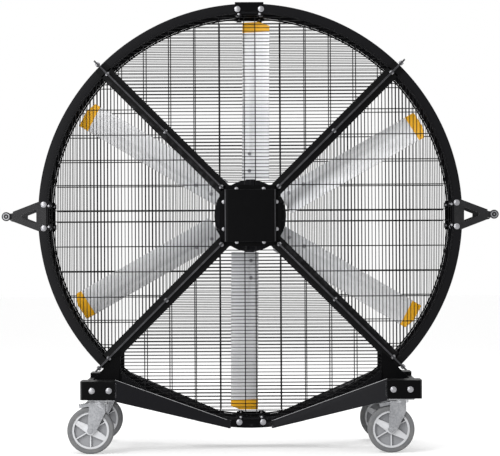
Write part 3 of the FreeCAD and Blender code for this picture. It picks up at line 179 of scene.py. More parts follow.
# %% [markdown]
# ## Making surfaces from arrays
# A surface is a grid of points worked out in one go with numpy. Two index grids turn it into
# four-sided faces. Turned shapes are a profile carried round an axis, wires are rings joined end to
# end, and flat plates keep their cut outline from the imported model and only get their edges
# rounded.

# %% Grids, lathes, wires and bars
# A direction that no part lies along, to find two directions square to any axis.
HELPER_WAY = (0.31, 0.52, 0.79)


def grid_faces(rows, columns):
    """Corner numbers of the faces between neighbouring rows; each row closes into a ring."""
    row = np.arange(rows - 1)[:, None]
    column = np.arange(columns)[None, :]
    after = (column + 1) % columns
    corners = [row * columns + column, row * columns + after,
               (row + 1) * columns + after, (row + 1) * columns + column]
    return np.stack(np.broadcast_arrays(*corners), axis=-1).reshape(-1, 4)


def turned_ring(axis, segments):
    """Unit axis, angles round it, and unit vectors there: across * cos(turn) + side * sin(turn)."""
    axis = np.array(axis, float) / np.linalg.norm(axis)
    across = np.cross(axis, HELPER_WAY)
    across = across / np.linalg.norm(across)
    side = np.cross(axis, across)
    turn = np.linspace(0.0, 2.0 * math.pi, segments, endpoint=False)
    return axis, turn, across * np.cos(turn)[:, None] + side * np.sin(turn)[:, None]


def lathe(profile, centre, axis, segments):
    """Point = centre + axis * along + radius * (unit vector at each angle round the axis)."""
    axis, _, ring = turned_ring(axis, segments)
    radius, along = np.array(profile, float).T
    points = np.array(centre) + along[:, None, None] * axis + radius[:, None, None] * ring
    return points.reshape(-1, 3), grid_faces(len(profile), segments).tolist()


def wires(starts, ends, radius, sides):
    """Both ends of each wire have a ring: middle + radius * (u * cos(turn) + v * sin(turn))."""
    starts = np.array(starts, float)
    ends = np.array(ends, float)
    way = ends - starts
    way = way / np.linalg.norm(way, axis=1, keepdims=True)
    u = np.cross(way, HELPER_WAY)
    u = u / np.linalg.norm(u, axis=1, keepdims=True)
    v = np.cross(way, u)
    turn = np.linspace(0.0, 2.0 * math.pi, sides, endpoint=False)
    ring = radius * (u[:, None] * np.cos(turn)[:, None] + v[:, None] * np.sin(turn)[:, None])
    points = np.stack([starts[:, None] + ring, ends[:, None] + ring], axis=1)
    first = (np.arange(len(starts)) * 2 * sides)[:, None]
    walls = (first[:, :, None] + grid_faces(2, sides)[None]).reshape(-1, 4).tolist()
    near = (first + np.arange(sides)[::-1]).tolist()
    far = (first + sides + np.arange(sides)).tolist()
    return points.reshape(-1, 3), walls + near + far


def bar(corner, one, two, three):
    """A block: corner + i * one + j * two + k * three, with i, j and k each 0 or 1."""
    steps = np.array([(i, j, k) for i in (0, 1) for j in (0, 1) for k in (0, 1)], float)
    points = np.array(corner) + steps @ np.array([one, two, three])
    return points, [(0, 1, 3, 2), (4, 6, 7, 5), (0, 4, 5, 1),
                    (2, 3, 7, 6), (0, 2, 6, 4), (1, 5, 7, 3)]


def swept(outline, path_axes):
    """Point = origin + p * (p axis) + q * (q axis) at each station, with both ends closed."""
    outline = np.array(outline, float)
    stations = [np.array(origin) + outline[:, :1] * np.array(p) + outline[:, 1:] * np.array(q)
                for origin, p, q in path_axes]
    count = len(outline)
    last = (len(stations) - 1) * count
    faces = grid_faces(len(stations), count).tolist()
    faces.append(list(range(count))[::-1])
    faces.append(list(range(last, last + count)))
    return np.concatenate(stations), faces


# %% [markdown]
# ## From arrays to pieces
# Every piece sits at the origin, rides on the body of the node it stands for, and takes that node's
# finish unless another is named. Doubles are merged and faces turned outwards before the edges are
# marked sharp by angle.

# %% Pieces
BODIES = frame["record"]["behaviour"]["bodies"]
BODY_OF = {node: body for body, nodes in BODIES.items() for node in nodes}
SLOT_OF = {row["node"]: row["material_slot"] for row in frame["record"]["subparts"]}
MERGE = 1e-5
SHARP = math.radians(32)
FLAT = math.radians(0.2)
EDGE_SEGMENTS = 2
pieces = {}


def finish_piece(name, work, node, bevel, slot=None):
    """Puts a worked mesh on the node's body, with rounded edges, in the node's or another finish."""
    bmesh.ops.remove_doubles(work, verts=work.verts, dist=MERGE)
    bmesh.ops.dissolve_degenerate(work, edges=work.edges, dist=MERGE)
    bmesh.ops.recalc_face_normals(work, faces=work.faces)
    mesh = bpy.data.meshes.new(name)
    work.to_mesh(mesh)
    work.free()
    mesh.shade_smooth()
    mesh.set_sharp_from_angle(angle=SHARP)
    piece = bpy.data.objects.new(name, mesh)
    bpy.context.collection.objects.link(piece)
    if bevel:
        rounding = piece.modifiers.new("rounded_edges", "BEVEL")
        rounding.width = bevel
        rounding.segments = EDGE_SEGMENTS
        rounding.limit_method = "ANGLE"
        rounding.angle_limit = SHARP
    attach(piece, BODY_OF[node])
    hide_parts(node)
    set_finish(piece, slot or SLOT_OF[node])
    pieces[name] = piece
    return piece


def from_arrays(name, parts, node, bevel=0.0, slot=None):
    """One piece from several (points, faces) pairs."""
    work = bmesh.new()
    for points, faces in parts:
        corners = [work.verts.new(point) for point in points]
        for face in faces:
            work.faces.new([corners[number] for number in face])
    return finish_piece(name, work, node, bevel, slot)


def cad_copy(node):
    """A worked copy of the node's own shape: doubles merged and flat triangles joined."""
    work = bmesh.new()
    work.from_mesh(NODES[node].data)
    bmesh.ops.remove_doubles(work, verts=work.verts, dist=MERGE)
    bmesh.ops.dissolve_limit(work, angle_limit=FLAT, verts=work.verts, edges=work.edges)
    return work


def softened(node, bevel, slot=None):
    """The node's own shape with its edges rounded."""
    return finish_piece(node + "_dressed", cad_copy(node), node, bevel, slot)


# %% [markdown]
# ## The ring
# The real shroud is a sheet rolled into a C: a drum wall with a flange turned inwards on each face.
# The bend has a small radius, so the profile has arcs at its corners. It is carried through a
# quarter turn.

# %% Shroud quarters
HUB_Z = HUB[2]
CENTRE = np.array(HUB)
HALF_QUARTER = 45
RING_RADIUS = 1.075
RING_HALF = 0.1525
RING_SHEET = 0.003
FLANGE_RADIUS = RING_RADIUS - 0.043
EAR_RADIUS = RING_RADIUS + 0.035
SEAM = 0.0002
BEND_RADIUS = 0.006
BEND_STEPS = 5
SHEET_EDGE = 0.0008
RING_STEPS = 72


def round_corner(centre, radius, start, end):
    """Points on a quarter circle: centre + radius * (cos(turn), sin(turn))."""
    turn = np.radians(np.linspace(start, end, BEND_STEPS))
    return np.stack([centre[0] + radius * np.cos(turn), centre[1] + radius * np.sin(turn)], axis=1)


def ring_profile():
    """The C-section as (radius, depth) pairs: its outside first, then back along its inside."""
    outer = BEND_RADIUS
    inner = BEND_RADIUS - RING_SHEET
    corner = (RING_RADIUS - outer, RING_HALF - outer)
    front = [(FLANGE_RADIUS, -RING_HALF)]
    mirrored = (corner[0], -corner[1])
    outside = [round_corner(mirrored, outer, -90, 0), round_corner(corner, outer, 0, 90)]
    rear = [(FLANGE_RADIUS, RING_HALF), (FLANGE_RADIUS, RING_HALF - RING_SHEET)]
    inside = [round_corner(corner, inner, 90, 0), round_corner(mirrored, inner, 0, -90)]
    last = [(FLANGE_RADIUS, RING_SHEET - RING_HALF)]
    return np.concatenate([front, *outside, rear, *inside, last])


def hub_axes(angle):
    """Unit vectors out from the hub at an angle, and square to that, both in the fan's face."""
    out = np.array([math.cos(angle), 0.0, math.sin(angle)])
    return out, np.array([-math.sin(angle), 0.0, math.cos(angle)])


def quarter_edges(middle):
    """The angles of the two seams beside a quarter, each with the side on which the quarter lies."""
    return (middle - HALF_QUARTER, 1), (middle + HALF_QUARTER, -1)


def diagonal_strip(angle, side, radii, offsets, depths):
    """A flat block beside a diagonal: out from the hub, sideways from the seam, front to back."""
    out, square = hub_axes(angle)
    square = square * side
    corner = CENTRE + out * radii[0] + square * (SEAM + offsets[0])
    corner = corner + np.array([0.0, depths[0], 0.0])
    return bar(corner, out * (radii[1] - radii[0]), square * (offsets[1] - offsets[0]),
               (0.0, depths[1] - depths[0], 0.0))


EAR_SHEET = 0.004
QUARTER_MIDDLES = {"top": 90, "right": 0, "bottom": 270, "left": 180}
DEPTH_AXIS = (0.0, 1.0, 0.0)

for quarter, middle in QUARTER_MIDDLES.items():
    spread = math.radians(HALF_QUARTER) - SEAM / FLANGE_RADIUS
    turns = math.radians(middle) + np.linspace(-spread, spread, RING_STEPS)
    parts = [swept(ring_profile(), [(HUB, hub_axes(turn)[0], DEPTH_AXIS) for turn in turns])]
    for edge, side in quarter_edges(middle):
        radii = (RING_RADIUS - RING_SHEET, EAR_RADIUS)
        parts.append(diagonal_strip(math.radians(edge), side, radii, (0.0, EAR_SHEET),
                                    (-RING_HALF, RING_HALF)))
    from_arrays("shroud_" + quarter + "_dressed", parts, "shroud_" + quarter, SHEET_EDGE)
print("shroud quarters", len(QUARTER_MIDDLES))

# %% [markdown]
# ## The guards
# Each guard panel is a welded frame of two angle arms, a narrow rim and an inner bar, filled with
# close wires one way and a few stouter ones the other way. Wires are round on the real fan, so each
# is a short tube with eight sides: fine enough for a wire that is thinner than a pixel.

# %% Guard sizes
ARM_SHEET = 0.004
ARM_LEG = 0.033
ARM_WEB = 0.038
ARM_ROOT = 0.120
ARM_END = RING_RADIUS - 0.005
WEB_ROOT = 0.195
ARM_FILLET = 0.003
RIM_DROP = 0.0435
RIM_WIDTH = 0.008
RIM_OUTER = RING_RADIUS - RIM_DROP
RIM_INNER = RIM_OUTER - RIM_WIDTH
RIM_TAB = 0.022
RIM_TAB_HALF = 0.013
RIM_SCREW_SIDE = 0.053
BAR_INNER = 0.117
BAR_OUTER = 0.151
FINE_WIRE = 0.004
FINE_PITCH = 0.01763
FIRST_WIRE = BAR_OUTER + 0.025
CROSS_WIRE = 0.005
CROSS_PITCH = 0.1275
CROSS_FIRST = 0.028
WIRE_INSET = 0.012 * math.sqrt(2)
WIRE_END_GAP = 0.006
WIRE_RADIUS = RIM_OUTER - WIRE_END_GAP
WIRE_SIDES = 8
ARM_EDGE = 0.0006
FACES = {"front": -1.0, "rear": 1.0}


def arm_outline():
    """The angle section as (sideways, outwards) pairs: a leg, a rounded inside corner and a web."""
    inside = round_corner((ARM_SHEET + ARM_FILLET, ARM_SHEET + ARM_FILLET), ARM_FILLET, 270, 180)
    outside = round_corner((ARM_FILLET, ARM_FILLET), ARM_FILLET, 180, 270)
    return np.concatenate([outside, [(ARM_LEG, 0.0), (ARM_LEG, ARM_SHEET)], inside,
                           [(ARM_SHEET, ARM_WEB), (0.0, ARM_WEB)]])


def guard_arm_parts(middle, face):
    """Two angle arms and the inner bar of one panel."""
    parts = []
    depth = (0.0, face, 0.0)
    front = (face * RING_HALF, face * (RING_HALF + ARM_SHEET))
    for edge, side in quarter_edges(middle):
        out, square = hub_axes(math.radians(edge))
        base = CENTRE + np.array([0.0, face * RING_HALF, 0.0]) + square * (side * SEAM)
        parts.append(swept(arm_outline(), [(base + out * radius, square * side, depth)
                                           for radius in (WEB_ROOT, ARM_END)]))
        web = (face * RING_HALF, face * (RING_HALF + ARM_WEB))
        for radii, width, depths in (((ARM_ROOT, WEB_ROOT), ARM_LEG, front),
                                     ((ARM_END, EAR_RADIUS), ARM_SHEET, web)):
            parts.append(diagonal_strip(math.radians(edge), side, radii, (0.0, width), depths))
    out, square = hub_axes(math.radians(middle))
    near = BAR_INNER - 2 * SEAM
    far = BAR_OUTER - 2 * SEAM
    trapezoid = [(-near, BAR_INNER), (near, BAR_INNER), (far, BAR_OUTER), (-far, BAR_OUTER)]
    parts.append(swept(trapezoid, [(CENTRE + np.array([0.0, y, 0.0]), square, out)
                                   for y in front]))
    return parts


def guard_rim_parts(middle, face):
    """A narrow strip carried round the hub along the panel's curved side, and two screw tabs."""
    spread = math.radians(HALF_QUARTER) - 2 * SEAM / RIM_INNER
    turns = math.radians(middle) + np.linspace(-spread, spread, RING_STEPS)
    strip = [(RIM_INNER, RING_HALF), (RIM_OUTER, RING_HALF),
             (RIM_OUTER, RING_HALF + ARM_SHEET), (RIM_INNER, RING_HALF + ARM_SHEET)]
    parts = [swept(strip, [(HUB, hub_axes(turn)[0], (0.0, face, 0.0)) for turn in turns])]
    out, square = hub_axes(math.radians(middle))
    low = CENTRE + out * (RIM_OUTER - RIM_TAB) + np.array([0.0, face * RING_HALF, 0.0])
    for side in (-RIM_SCREW_SIDE, RIM_SCREW_SIDE):
        parts.append(bar(low + square * (side - RIM_TAB_HALF), out * (RIM_TAB - ARM_SHEET),
                         square * (2 * RIM_TAB_HALF), (0.0, face * ARM_SHEET, 0.0)))
    return parts


def guard_wire_parts(middle, face):
    """Close wires square to the panel's middle line, and stouter ones along it, just inside them."""
    out, square = hub_axes(math.radians(middle))
    height = np.arange(FIRST_WIRE, WIRE_RADIUS - FINE_WIRE, FINE_PITCH)
    round_edge = np.sqrt(WIRE_RADIUS ** 2 - (height + FINE_WIRE / 2) ** 2)
    reach = np.minimum(height - WIRE_INSET, round_edge)[:, None] * square
    level = CENTRE + np.array([0.0, face * (RING_HALF - FINE_WIRE / 2), 0.0])
    rows = level + height[:, None] * out
    close = wires(rows - reach, rows + reach, FINE_WIRE / 2, WIRE_SIDES)
    aside = np.arange(CROSS_FIRST, WIRE_RADIUS, CROSS_PITCH)
    tops = np.sqrt(WIRE_RADIUS ** 2 - (aside + CROSS_WIRE) ** 2)
    room = aside + WIRE_INSET < tops - FINE_PITCH
    aside = aside[room]
    low = np.maximum(BAR_OUTER, aside + WIRE_INSET)
    high = np.minimum(height[-1], tops[room])
    aside = np.concatenate([aside, -aside])
    low = np.tile(low, 2)
    high = np.tile(high, 2)
    level = CENTRE + np.array([0.0, face * (RING_HALF - FINE_WIRE - CROSS_WIRE / 2), 0.0])
    columns = level + aside[:, None] * square
    stout = wires(columns + low[:, None] * out, columns + high[:, None] * out,
                  CROSS_WIRE / 2, WIRE_SIDES)
    return [close, stout]


# %% Guards
for face_name, face in FACES.items():
    for quarter, middle in QUARTER_MIDDLES.items():
        node = face_name + "_guard_" + quarter
        from_arrays(node + "_arms", guard_arm_parts(middle, face), node, ARM_EDGE)
        from_arrays(node + "_rim", guard_rim_parts(middle, face), node, SHEET_EDGE, "black_shroud")
        from_arrays(node + "_wires", guard_wire_parts(middle, face), node)
print("guard panels", len(FACES) * len(QUARTER_MIDDLES))

# %% [markdown]
# ## Bolts
# The bright heads catch the eye on a black fan. A head is a turned shape whose radius grows towards
# six corners half way up: a round flange, a hexagon, and a slightly crowned top. The nut is a like
# shape with the end of the shank standing out of it. The motor's screws are sunk flush, with a
# six-sided socket.

# %% Bolt shapes
HEX_STEPS = 24


def hex_lathe(profile, seat, axis):
    """Radius = profile radius * (1 + hexness * (1 / cos(angle from the middle of a flat) - 1))."""
    radius, along, hexness = np.array(profile, float).T
    axis, turn, ring = turned_ring(axis, HEX_STEPS)
    sector = math.pi / 3
    flat = np.abs(np.mod(turn + sector / 2, sector) - sector / 2)
    corner = 1.0 / np.cos(flat) - 1.0
    spread = radius[:, None] * (1.0 + hexness[:, None] * corner[None, :])
    points = np.array(seat) + along[:, None, None] * axis + spread[:, :, None] * ring[None]
    return points.reshape(-1, 3), grid_faces(len(profile), HEX_STEPS).tolist()


def head_profile(flange, height):
    """(radius, height, hexness) from the seat to the crown, from shares of flange and height."""
    shares = [(0.0, 0.0, 0), (1.0, 0.0, 0), (1.0, 0.16, 0), (0.94, 0.26, 0), (0.66, 0.36, 1),
              (0.66, 0.82, 1), (0.60, 0.93, 0.6), (0.36, 1.0, 0), (0.0, 1.0, 0)]
    return [(flange * r, height * h, hexness) for r, h, hexness in shares]


def nut_profile(flange, height, shank):
    """(radius, height, hexness) of a flanged nut with the shank's end standing out of it."""
    shares = [(0.0, 0.0, 0), (1.0, 0.0, 0), (1.0, 0.12, 0), (0.9, 0.2, 0.2), (0.82, 0.26, 1),
              (0.82, 0.72, 1), (0.74, 0.8, 0.4)]
    end = [(shank, height * 0.8, 0), (shank, height * 0.95, 0), (shank * 0.8, height, 0),
           (0.0, height, 0)]
    return [(flange * r, height * h, hexness) for r, h, hexness in shares] + end


def bolt_parts(seat, axis, grip, size):
    """A head on the seat and a nut at the far side of the grip; the axis points from head to nut."""
    seat = np.array(seat, float)
    axis = np.array(axis, float)
    head = hex_lathe(head_profile(size["head"], size["head_height"]), seat, -axis)
    outline = nut_profile(size["nut"], size["nut_height"], size["shank"])
    nut = hex_lathe(outline, seat + axis * grip, axis)
    return [head, nut]


RING_BOLT = {"head": 0.0152, "head_height": 0.009, "nut": 0.011, "nut_height": 0.008, "shank": 0.006}
ARM_BOLT = {"head": 0.010, "head_height": 0.007, "nut": 0.0095, "nut_height": 0.008, "shank": 0.005}
RIM_SCREW = {"head": 0.006, "head_height": 0.004, "nut": 0.006, "nut_height": 0.005, "shank": 0.003}
SUNK_SCREW = [(0.0, -0.016, 0), (0.004, -0.016, 0), (0.004, -0.003, 0), (0.008, -0.003, 0),
              (0.008, -0.0004, 0), (0.0076, 0.0, 0), (0.0042, 0.0, 1), (0.0042, -0.0024, 1),
              (0.0, -0.0026, 0)]

# %% Bolts of the standing frame
TIE_LEG = 0.005
BACKING = 0.003
RING_BOLT_RADIUS = RING_RADIUS - 0.029
RING_BOLT_SIDE = 0.060
HUB_PLATE = 0.005
HUB_BOLT_SIDE = 0.069
HUB_BOLT_OFFSET = 0.134
ARM_BOLT_SHARES = [0.186, 0.543, 0.916, 0.979]
ARM_BOLT_DEPTH = RING_HALF + ARM_WEB * 0.58
EAR_BOLT_DEPTH = 0.100
beam_low, beam_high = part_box("base_beam_right")
BEAM_BOLT_SHIFT = 0.013
BEAM_BOLT_X = (beam_low[0] + beam_high[0]) / 2 - BEAM_BOLT_SHIFT
BEAM_BOLT_Z = (beam_low[2] + beam_high[2]) / 2
BEAM_BOLT_SIDE = 0.042
BEAM_WALL = 0.005
BLOCK_RISE = 0.022
BEAM_TOP = beam_high[2] - BLOCK_RISE
GUSSET_BOLT_STEPS = [0.015, 0.045]
GUSSET_SHEET = 0.005
GUSSET_BOLT_SHARE = 0.405
GUSSET_BOLT_X = beam_low[0] + (beam_high[0] - beam_low[0]) * GUSSET_BOLT_SHARE
GUSSET_FRONT = RING_HALF + ARM_SHEET + GUSSET_SHEET
MOTOR_SCREW_CIRCLE = 0.082
MOTOR_SCREW_SIDE = MOTOR_SCREW_CIRCLE * math.sqrt(0.5)

parts = []
for middle in QUARTER_MIDDLES.values():
    out, square = hub_axes(math.radians(middle))
    diagonal, across = hub_axes(math.radians(middle + HALF_QUARTER))
    for face in FACES.values():
        inwards = np.array([0.0, -face, 0.0])
        for side in (-1, 1):
            seat = CENTRE + out * RING_BOLT_RADIUS + square * (side * RING_BOLT_SIDE)
            seat = seat - inwards * (RING_HALF + TIE_LEG)
            parts += bolt_parts(seat, inwards, TIE_LEG + RING_SHEET + BACKING, RING_BOLT)
            seat = CENTRE + out * (RIM_OUTER - RIM_TAB / 2) + square * (side * RIM_SCREW_SIDE)
            seat = seat - inwards * (RING_HALF + ARM_SHEET)
            parts += bolt_parts(seat, inwards, ARM_SHEET + RING_SHEET + BACKING, RIM_SCREW)
            seat = CENTRE + out * HUB_BOLT_OFFSET + square * (side * HUB_BOLT_SIDE)
            seat = seat - inwards * (RING_HALF + ARM_SHEET + HUB_PLATE)
            parts += bolt_parts(seat, inwards, ARM_SHEET + HUB_PLATE, ARM_BOLT)
        for share in ARM_BOLT_SHARES:
            reach = SEAM + ARM_SHEET
            seat = CENTRE + diagonal * (EAR_RADIUS * share) - across * (reach * -face)
            seat = seat + np.array([0.0, face * ARM_BOLT_DEPTH, 0.0])
            parts += bolt_parts(seat, across * -face, 2 * reach, ARM_BOLT)
        reach = SEAM + EAR_SHEET
        seat = CENTRE + diagonal * ((RING_RADIUS + EAR_RADIUS) / 2) - across * reach
        seat = seat + np.array([0.0, face * EAR_BOLT_DEPTH, 0.0])
        parts += bolt_parts(seat, across, 2 * reach, ARM_BOLT)
for side in (-1, 1):
    for face in FACES.values():
        for offset in (-BEAM_BOLT_SIDE, BEAM_BOLT_SIDE):
            seat = (side * (BEAM_BOLT_X + offset), face * beam_high[1], BEAM_BOLT_Z)
            parts += bolt_parts(seat, (0.0, -face, 0.0), BEAM_WALL, RING_BOLT)
        for step in GUSSET_BOLT_STEPS:
            seat = (side * GUSSET_BOLT_X, face * (GUSSET_FRONT + step), BEAM_TOP + GUSSET_SHEET)
            parts += bolt_parts(seat, (0.0, 0.0, -1.0), GUSSET_SHEET + BEAM_WALL, ARM_BOLT)
print("frame bolts", len(parts) // 2)
for x in (-MOTOR_SCREW_SIDE, MOTOR_SCREW_SIDE):
    for z in (-MOTOR_SCREW_SIDE, MOTOR_SCREW_SIDE):
        seat = CENTRE + np.array([x, RING_HALF + ARM_SHEET + HUB_PLATE, z])
        parts.append(hex_lathe(SUNK_SCREW, seat, DEPTH_AXIS))
from_arrays("frame_bolts_dressed", parts, "frame_bolts")

# %% [markdown]
# ## Plates, castings and sheet metal
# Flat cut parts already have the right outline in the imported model, with every hole in its place.
# Drawing them again would only risk a mismatch, so each is copied, its triangles are joined into
# whole faces, and a small bevel gives it the soft edge that powder coat leaves on sheet metal.

# %% Softened parts
EDGE_WIDTHS = {
    "hub_front_plate": 0.0012, "hub_rear_plate": 0.0012, "hub_cover": 0.0030, "ring_ties": 0.0012,
    "base_gussets": 0.0012, "caster_plates": 0.0012, "motor_housing": 0.0020,
    "rotor_hub": 0.0015, "control_box": 0.0015, "control_cover": 0.0015, "power_gland": 0.0010,
    "speed_knob": 0.0010, "blade_tips": 0.0022, "blade_bolts": 0.0005}
BRACKET_EDGE = 0.0010
CASTER_EDGES = {"caster_fork_": 0.0010, "caster_wheel_": 0.0012, "brake_pedal_": 0.0010}
for node, width in EDGE_WIDTHS.items():
    softened(node, width)
softened("handle_brackets", BRACKET_EDGE, "black_grip")
for corner in CORNERS:
    for start, width in CASTER_EDGES.items():
        softened(start + corner, width)
print("softened parts", len(EDGE_WIDTHS) + 1 + len(CASTER_EDGES) * len(CORNERS))

# %% [markdown]
# ## Base beams and rails
# A beam is folded from sheet, and the folds at its outer corners have a clear radius that catches
# the light. The upright edges there are picked by their place and rounded with a wide bevel before
# the small one. The rails have such a fold along their top, between a face that looks up and one
# that looks out.

# %% Base beams and rails
CORNER_RADIUS = 0.015
CORNER_STEPS = 5
BEAM_EDGE = 0.0022
RAIL_FOLD = 0.0035
RAIL_STEPS = 4
RAIL_EDGE = 0.0010
RAIL_FACING = 0.7
ROUND_PROFILE = 0.5


def rounded(work, edges, radius, steps):
    """Rounds the picked edges of a worked mesh with a wide bevel."""
    bmesh.ops.bevel(work, geom=edges, offset=radius, segments=steps, profile=ROUND_PROFILE,
                    affect="EDGES")


def folded_edges(work, side):
    """The upright edges where the outer wall of a beam meets its two end walls."""
    reach = beam_high[0] - MERGE
    end = beam_high[1] - MERGE
    return [edge for edge in work.edges
            if all(point.co.x * side > reach and abs(point.co.y) > end for point in edge.verts)
            and abs(edge.verts[0].co.z - edge.verts[1].co.z) > CORNER_RADIUS]


for name, side in (("base_beam_left", -1), ("base_beam_right", 1)):
    work = cad_copy(name)
    folds = folded_edges(work, side)
    rounded(work, folds, CORNER_RADIUS, CORNER_STEPS)
    finish_piece(name + "_dressed", work, name, BEAM_EDGE, "black_plate")
    print(name, "folded edges", len(folds))


def top_folds(work):
    """The edges between a face that looks up and one that looks out from the fan's middle."""
    found = []
    for edge in work.edges:
        out = math.copysign(1.0, edge.verts[0].co.y)
        ways = [face.normal for face in edge.link_faces]
        looks_up = any(way.z > RAIL_FACING for way in ways)
        if looks_up and any(way.y * out > RAIL_FACING for way in ways):
            found.append(edge)
    return found


for name in ("base_rails_front", "base_rails_rear"):
    work = cad_copy(name)
    folds = top_folds(work)
    rounded(work, folds, RAIL_FOLD, RAIL_STEPS)
    finish_piece(name + "_dressed", work, name, RAIL_EDGE)
    print(name, "top folds", len(folds))

# %% [markdown]
# ## Blades
# A blade is a drawn aluminium section, so its fine lines run along its length. A pattern in world
# directions would cross four of the six blades at a slant. Each blade gets a map of its own
# instead: one value counts across the chord, the other out from the hub.

# %% Blades
BLADE_PITCH = math.radians(30)
BLADE_TURN = math.radians(0.5)
BLADE_CHORD = 0.158
BLADE_STEP = 60
BLADE_EDGE = 0.0008


def chord_map(mesh, angle):
    """u = share of the chord across the blade, v = metres out from the hub, for each face corner."""
    out = np.array([math.sin(angle), 0.0, math.cos(angle)])
    flat = math.cos(BLADE_PITCH)
    chord = np.array([-flat * math.cos(angle), math.sin(BLADE_PITCH), flat * math.sin(angle)])
    points = np.empty(len(mesh.vertices) * 3)
    mesh.vertices.foreach_get("co", points)
    corners = np.empty(len(mesh.loops), int)
    mesh.loops.foreach_get("vertex_index", corners)
    arms = points.reshape(-1, 3)[corners] - CENTRE
    layer = mesh.uv_layers.new(name="chord_map")
    places = np.stack([arms @ chord / BLADE_CHORD, arms @ out], axis=1)
    layer.data.foreach_set("uv", places.ravel())


for number, blade in enumerate(BLADES):
    chord_map(softened(blade, BLADE_EDGE).data, math.radians(BLADE_STEP * number) + BLADE_TURN)
print("blades", len(BLADES))

# %% [markdown]
# ## Push bars
# Each handle is a tube between two brackets with a moulded cap on each end. The cap has a rounded
# rim and a shallow dish with a metal ring and pin in it, so light picks out rings on it. All of it
# is turned.

# %% Push bars
BAR_X = 1.234
BAR_RADIUS = 0.015
BAR_STEPS = 48
CAP_GAP = 0.0003
CAP_LENGTH = 0.017
CAP_INSIDE = RING_HALF + TIE_LEG + CAP_GAP
CAP_END = CAP_INSIDE + CAP_LENGTH
CAP_FACE = [(0.0, -0.0012), (0.0060, -0.0012), (0.0072, -0.0030), (0.0150, -0.0030),
            (0.0166, -0.0008), (0.0185, 0.0), (0.0212, -0.0006), (0.0225, -0.0018), (0.0230, -0.0036)]
CAP_BACK = [(0.0230, 0.001), (0.0222, 0.0), (BAR_RADIUS, 0.0)]
CAP_RING = [(0.0118, -0.0040), (0.0118, -0.0008), (0.0124, 0.0), (0.0168, 0.0), (0.0174, -0.0008),
            (0.0174, -0.0040)]
CAP_PIN = [(0.0, 0.0), (0.0036, 0.0), (0.0044, -0.0008), (0.0044, -0.0030)]


def push_bar_profile():
    """(radius, along) pairs from the middle of one cap's face, down the bar, to the other cap's."""
    face = np.array(CAP_FACE) + np.array([0.0, CAP_END])
    half = np.concatenate([face, np.array(CAP_BACK) + np.array([0.0, CAP_INSIDE])])
    return np.concatenate([half, half[::-1] * np.array([1.0, -1.0])])


bars = [lathe(push_bar_profile(), (x, 0.0, HUB_Z), DEPTH_AXIS, BAR_STEPS) for x in (-BAR_X, BAR_X)]
from_arrays("handle_bars_dressed", bars, "handle_bars")
inserts = [lathe(profile, (x, face * CAP_END, HUB_Z), (0.0, face, 0.0), BAR_STEPS)
           for x in (-BAR_X, BAR_X) for face in FACES.values() for profile in (CAP_RING, CAP_PIN)]
from_arrays("handle_cap_inserts", inserts, "handle_bars", 0.0, "pedal_zinc")
print("push bars", len(bars), "cap inserts", len(inserts))

# %% [markdown]
# ## Tyres
# A tyre is a turned shape: a flat seat on the wheel, upright side walls with a shallow groove,
# round shoulders and a gently crowned tread. One profile carried round the axle gives all of it.

# %% Tyres
TYRE_STEPS = 96
TYRE_HEIGHT = 0.024
TYRE_SHOULDER = 0.009
SHOULDER_TURN = 82
SHOULDER_STEPS = 7
CROWN_SHARE = 0.3
TYRE_WALL = [(0.0, -0.0012), (0.0012, 0.0), (0.004, 0.0), (0.005, -0.0008), (0.0065, -0.0008),
             (0.0075, 0.0)]


def tyre_profile(inner, outer, half):
    """(radius, along) pairs round a tyre's section: seat, side wall, shoulder, crown and back."""
    bend = np.radians(np.linspace(0, SHOULDER_TURN, SHOULDER_STEPS))
    arc = np.stack([outer - TYRE_SHOULDER + TYRE_SHOULDER * np.sin(bend),
                    half - TYRE_SHOULDER * (1 - np.cos(bend))], axis=1)
    wall = np.array(TYRE_WALL) + np.array([inner, half])
    over = np.concatenate([wall, arc, [(outer, half * CROWN_SHARE)]])
    back = over[::-1] * np.array([1.0, -1.0])
    return np.concatenate([over, back, over[:1]])


for corner in CORNERS:
    low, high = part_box("caster_tyre_" + corner)
    centre = [(a + b) / 2 for a, b in zip(low, high)]
    outer = (high[2] - low[2]) / 2
    half = (high[1] - low[1]) / 2
    profile = tyre_profile(outer - TYRE_HEIGHT, outer, half)
    tyre = lathe(profile, centre, DEPTH_AXIS, TYRE_STEPS)
    from_arrays("caster_tyre_" + corner + "_dressed", [tyre], "caster_tyre_" + corner)
print("tyres", len(CORNERS))

# %% [markdown]
# ## Finishes
# Three shared effects, each a node group that gives out only what changes over a surface. Powder
# coat has a fine orange-peel skin, dust on faces that look up, paler worn edges, and a painted
# highlight along rounded folds and the front lips of the guard arms. Drawn metal has long streaks, a
# painted glint on its folds and a painted shade towards the hub. Moulded stuff has a fine grain and
# painted shade in its hollows. The shader itself stays in each material.

# %% Group helpers
COLOR = "NodeSocketColor"
FLOAT = "NodeSocketFloat"
VECTOR = "NodeSocketVector"
# Where the painted highlight on rounded edges is full and where it is gone, as the largest part of
# the normal.
FOLD_FULL = 0.74
FOLD_NONE = 0.88
# The colour sockets of the mix node by number, since its sockets share their names.
MIX_FIRST = 6
MIX_SECOND = 7
MIX_RESULT = 2


def effect_group(name, inputs, outputs):
    """A shader node group with named sockets; returns it with its nodes, links and two ends."""
    group = bpy.data.node_groups.new(name, "ShaderNodeTree")
    for kind, sockets in (("INPUT", inputs), ("OUTPUT", outputs)):
        for label, socket_type, value in sockets:
            socket = group.interface.new_socket(name=label, in_out=kind, socket_type=socket_type)
            if value is not None:
                socket.default_value = value
    start = group.nodes.new("NodeGroupInput")
    end = group.nodes.new("NodeGroupOutput")
    return group, group.nodes, group.links, start.outputs, end.inputs


def noise(nodes, links, vector, scale, detail=2.0, rough=0.5):
    """A noise value on the given coordinates."""
    node = nodes.new("ShaderNodeTexNoise")
    node.inputs["Scale"].default_value = scale
    node.inputs["Detail"].default_value = detail
    node.inputs["Roughness"].default_value = rough
    links.new(vector, node.inputs["Vector"])
    return node.outputs["Fac"]


